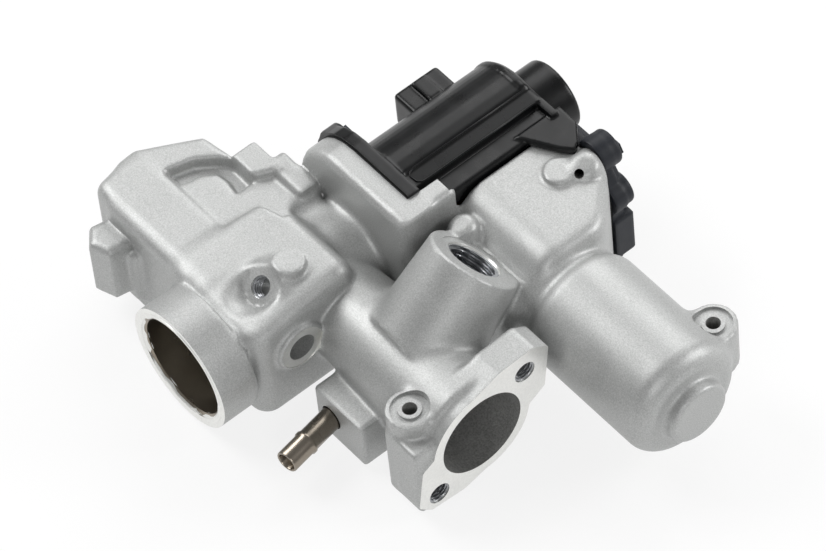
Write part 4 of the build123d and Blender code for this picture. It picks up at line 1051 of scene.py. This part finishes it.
# outline between the lobes, and the room behind it, x and z
SIDE = [(-59.0, -23.5), (-45.0, -23.5), (-40.0, -21.0), (-36.0, -10.0), (-34.0, -2.0),
        (-33.2, 6.0), (-33.4, 13.0), (-35.6, 19.0), (-38.6, 23.4), (-43, 27.5), (-59.0, 27.5)]
SIDE_ROOM = [(-57, -12), (-47, -12), (-41.5, -11), (-38.8, 8), (-40, 20), (-47.5, 22), (-57, 26)]
SIDE_LOBES = [((-42.4, 28.4), 6.4), ((-40.5, -18.5), 5.8), ((-54.5, -19.0), 5.4), ((-37.0, 12.0), 6.2)]
SIDE_HUMPS = [((-42.4, 28.4), 6.4), ((-37.2, 12.2), 6.0)]
SIDE_SCREWS = [(-41.0, 27.5), (-40.5, -18.5), (-54.5, -19.0)]
SIDE_Y = 84.2                           # just off the case's face


def side_field(step):
    """Lobed side cover: three screw lobes and two round humps joined by a flat body."""
    f = Field((-64, 82, -29), (-26, 96, 38), step)
    x, y, z = f.x, f.y, f.z
    flat = outline(x, z, SIDE)
    for centre, r in SIDE_LOBES:
        flat = soft_min(flat, disc(x, z, centre, r), 1.2)
    f.join(capped(flat, between(y, SIDE_Y, 89.6), 0.9), 0)
    f.join(capped(flat + 1.0, between(y, SIDE_Y, 91.6), 1.0), 0.5)
    for centre, r in SIDE_HUMPS:
        f.join(capped(disc(x, z, centre, r), between(y, SIDE_Y, 92.6), 1.0), 0.6)
    f.join(capped(disc(x, z, (-50.0, 5.5), 9.0), between(y, 86, 93.0), 1.0), 0.8)
    f.join(block(f, (-37.4, SIDE_Y, -16), (-32.2, 92.4, 3.0), 0.8), 0.5)
    return f


class EGR_OT_side(bpy.types.Operator):
    """Side cover: moulded skin from a distance field, with its room and screw holes cut."""

    bl_idname = "egr.side_cover"
    bl_label = "Side cover"

    def execute(self, context):
        step = context.scene.egr_sizes.cover_step / MM * 0.9
        points, faces = net(side_field(step))
        finish = MATS["side"]
        skin = piece("side_shell", points, faces, finish)
        clean_mesh(skin)
        cuts = [
            slab("seat", "xz", (-80, -20), (-40, 50), (70, 84.5), finish),
            slab("wall", "xz", (-80, CASE_X), (-40, 50), (80, 100), finish),
            prism("pocket", SIDE_ROOM, "xz", 80, 89, finish),
        ]
        cuts += [bar("hole", "xz", place, 2.3, 80, 100, finish) for place in SIDE_SCREWS]
        carve(skin, cuts)
        drop_slivers(skin)
        lighten(skin, 120000)
        smooth(skin, 32.0)
        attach(skin, ROOT)
        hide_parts("side_cover")
        return {"FINISHED"}


# ---- stage --------------------------------------------------------------------------------

TARGET = Vector((-63.2, 24.2, -0.3)) * MM
CAMERA_BACK, CAMERA_UP = Vector((0.498, -0.345, 0.796)), Vector((-0.585, 0.544, 0.602))
CAMERA_DISTANCE, LENS, SENSOR = 2.0, 269.2, 36.0
# each lamp: name, place from the target in metres, side in metres, power in watts
LAMPS = [
    ("left", (-0.75, -0.3, 0.85), 0.6, 7.8),
    ("right", (0.70, 0.95, 0.55), 0.5, 7.0),
    ("rear", (-0.5, 0.7, 0.7), 0.8, 6.0),
    ("front", (0.8, -0.5, 0.6), 0.3, 2.2),
]
SKY = 0.3                       # even light from all round
PAPER_GLOW = 0.82               # share of the paper's own white, as seen by eye or mirrored


def white_paper():
    """Matt white paper that reads as clean white behind the object and keeps a soft shadow."""
    paper, shader = material("paper_matt_white", linear("#F4F4F4"), 0.0, 0.9)
    tree = paper.node_tree
    glow = node(tree, "ShaderNodeEmission", {"Color": (1, 1, 1, 1), "Strength": 1.0})
    rays = node(tree, "ShaderNodeLightPath")
    seen = node(tree, "ShaderNodeMath", {"operation": "MAXIMUM"})
    tree.links.new(rays.outputs["Is Camera Ray"], seen.inputs[0])
    tree.links.new(rays.outputs["Is Glossy Ray"], seen.inputs[1])
    share = node(tree, "ShaderNodeMath", {"operation": "MULTIPLY"})
    tree.links.new(seen.outputs[0], share.inputs[0])
    share.inputs[1].default_value = PAPER_GLOW
    mix = node(tree, "ShaderNodeMixShader")
    tree.links.new(share.outputs[0], mix.inputs[0])
    tree.links.new(shader.outputs[0], mix.inputs[1])
    tree.links.new(glow.outputs[0], mix.inputs[2])
    out = [n for n in tree.nodes if n.type == "OUTPUT_MATERIAL"][0]
    tree.links.new(mix.outputs[0], out.inputs["Surface"])
    return paper


def add_lamp(scene, name, at, size, power):
    """Square lamp at a place from the target, turned to face it."""
    lamp = bpy.data.lights.new(name, "AREA")
    lamp.shape = "SQUARE"
    lamp.size, lamp.energy = size, power
    held = bpy.data.objects.new(name, lamp)
    held.location = TARGET + Vector(at)
    held.rotation_euler = (-Vector(at)).to_track_quat("-Z", "Y").to_euler()
    scene.collection.objects.link(held)


def add_camera(scene):
    """Camera looking at the target from above the flange's side."""
    back = CAMERA_BACK.normalized()
    right = CAMERA_UP.cross(back).normalized()
    up = back.cross(right)
    view = bpy.data.cameras.new("view")
    view.lens, view.sensor_width = LENS, SENSOR
    view.clip_start, view.clip_end = 0.01, 20
    held = bpy.data.objects.new("view", view)
    turn = Matrix((right, up, back)).transposed().to_4x4()
    held.matrix_world = Matrix.Translation(TARGET + back * CAMERA_DISTANCE) @ turn
    scene.collection.objects.link(held)
    scene.camera = held


class EGR_OT_stage(bpy.types.Operator):
    """Pale floor, even sky, soft lamps and the camera."""

    bl_idname = "egr.stage"
    bl_label = "Stage"

    def execute(self, context):
        scene = context.scene
        half, thick, gap = 2500, 5, 0.05
        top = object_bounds()[0].z / MM - gap
        floor = slab("floor_sheet", "xy", (-half, half), (-half, half), (top - thick, top))
        floor.data.materials.append(white_paper())
        floor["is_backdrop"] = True
        world = bpy.data.worlds.new("studio")
        scene.world = world
        world.use_nodes = True
        sky = world.node_tree.nodes["Background"]
        sky.inputs["Color"].default_value = (1, 1, 1, 1)
        sky.inputs["Strength"].default_value = SKY
        for lamp in LAMPS:
            add_lamp(scene, *lamp)
        add_camera(scene)
        scene.view_settings.view_transform = "Standard"
        return {"FINISHED"}


# ---- panel and run ------------------------------------------------------------------------

class EGR_PT_panel(bpy.types.Panel):
    """The valve's finishes, sizes and pieces."""

    bl_label = "EGR valve"
    bl_idname = "EGR_PT_panel"
    bl_space_type = "VIEW_3D"
    bl_region_type = "UI"
    bl_category = "EGR valve"

    def draw(self, context):
        for group, kind in ((context.scene.egr_finishes, EGR_PG_finishes),
                            (context.scene.egr_sizes, EGR_PG_sizes)):
            for name in kind.__annotations__:
                self.layout.prop(group, name)
        for kind in OPERATORS:
            self.layout.operator(kind.bl_idname)


OPERATORS = (
    EGR_OT_finishes,
    EGR_OT_casting,
    EGR_OT_pipe,
    EGR_OT_lip,
    EGR_OT_threads,
    EGR_OT_spring,
    EGR_OT_cover,
    EGR_OT_cover_lines,
    EGR_OT_side,
    EGR_OT_stage,
)
CLASSES = (EGR_PG_finishes, EGR_PG_sizes) + OPERATORS + (EGR_PT_panel,)


def register():
    """Registers the classes and puts their properties on the scene."""
    for kind in CLASSES:
        bpy.utils.register_class(kind)
    bpy.types.Scene.egr_finishes = PointerProperty(type=EGR_PG_finishes)
    bpy.types.Scene.egr_sizes = PointerProperty(type=EGR_PG_sizes)


def unregister():
    """Takes the properties and classes away again."""
    del bpy.types.Scene.egr_finishes
    del bpy.types.Scene.egr_sizes
    for kind in reversed(CLASSES):
        bpy.utils.unregister_class(kind)


def main():
    """Runs every operator in order."""
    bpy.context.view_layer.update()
    register()
    for kind in OPERATORS:
        group, name = kind.bl_idname.split(".")
        getattr(getattr(bpy.ops, group), name)()


if __name__ == "__main__":
    main()
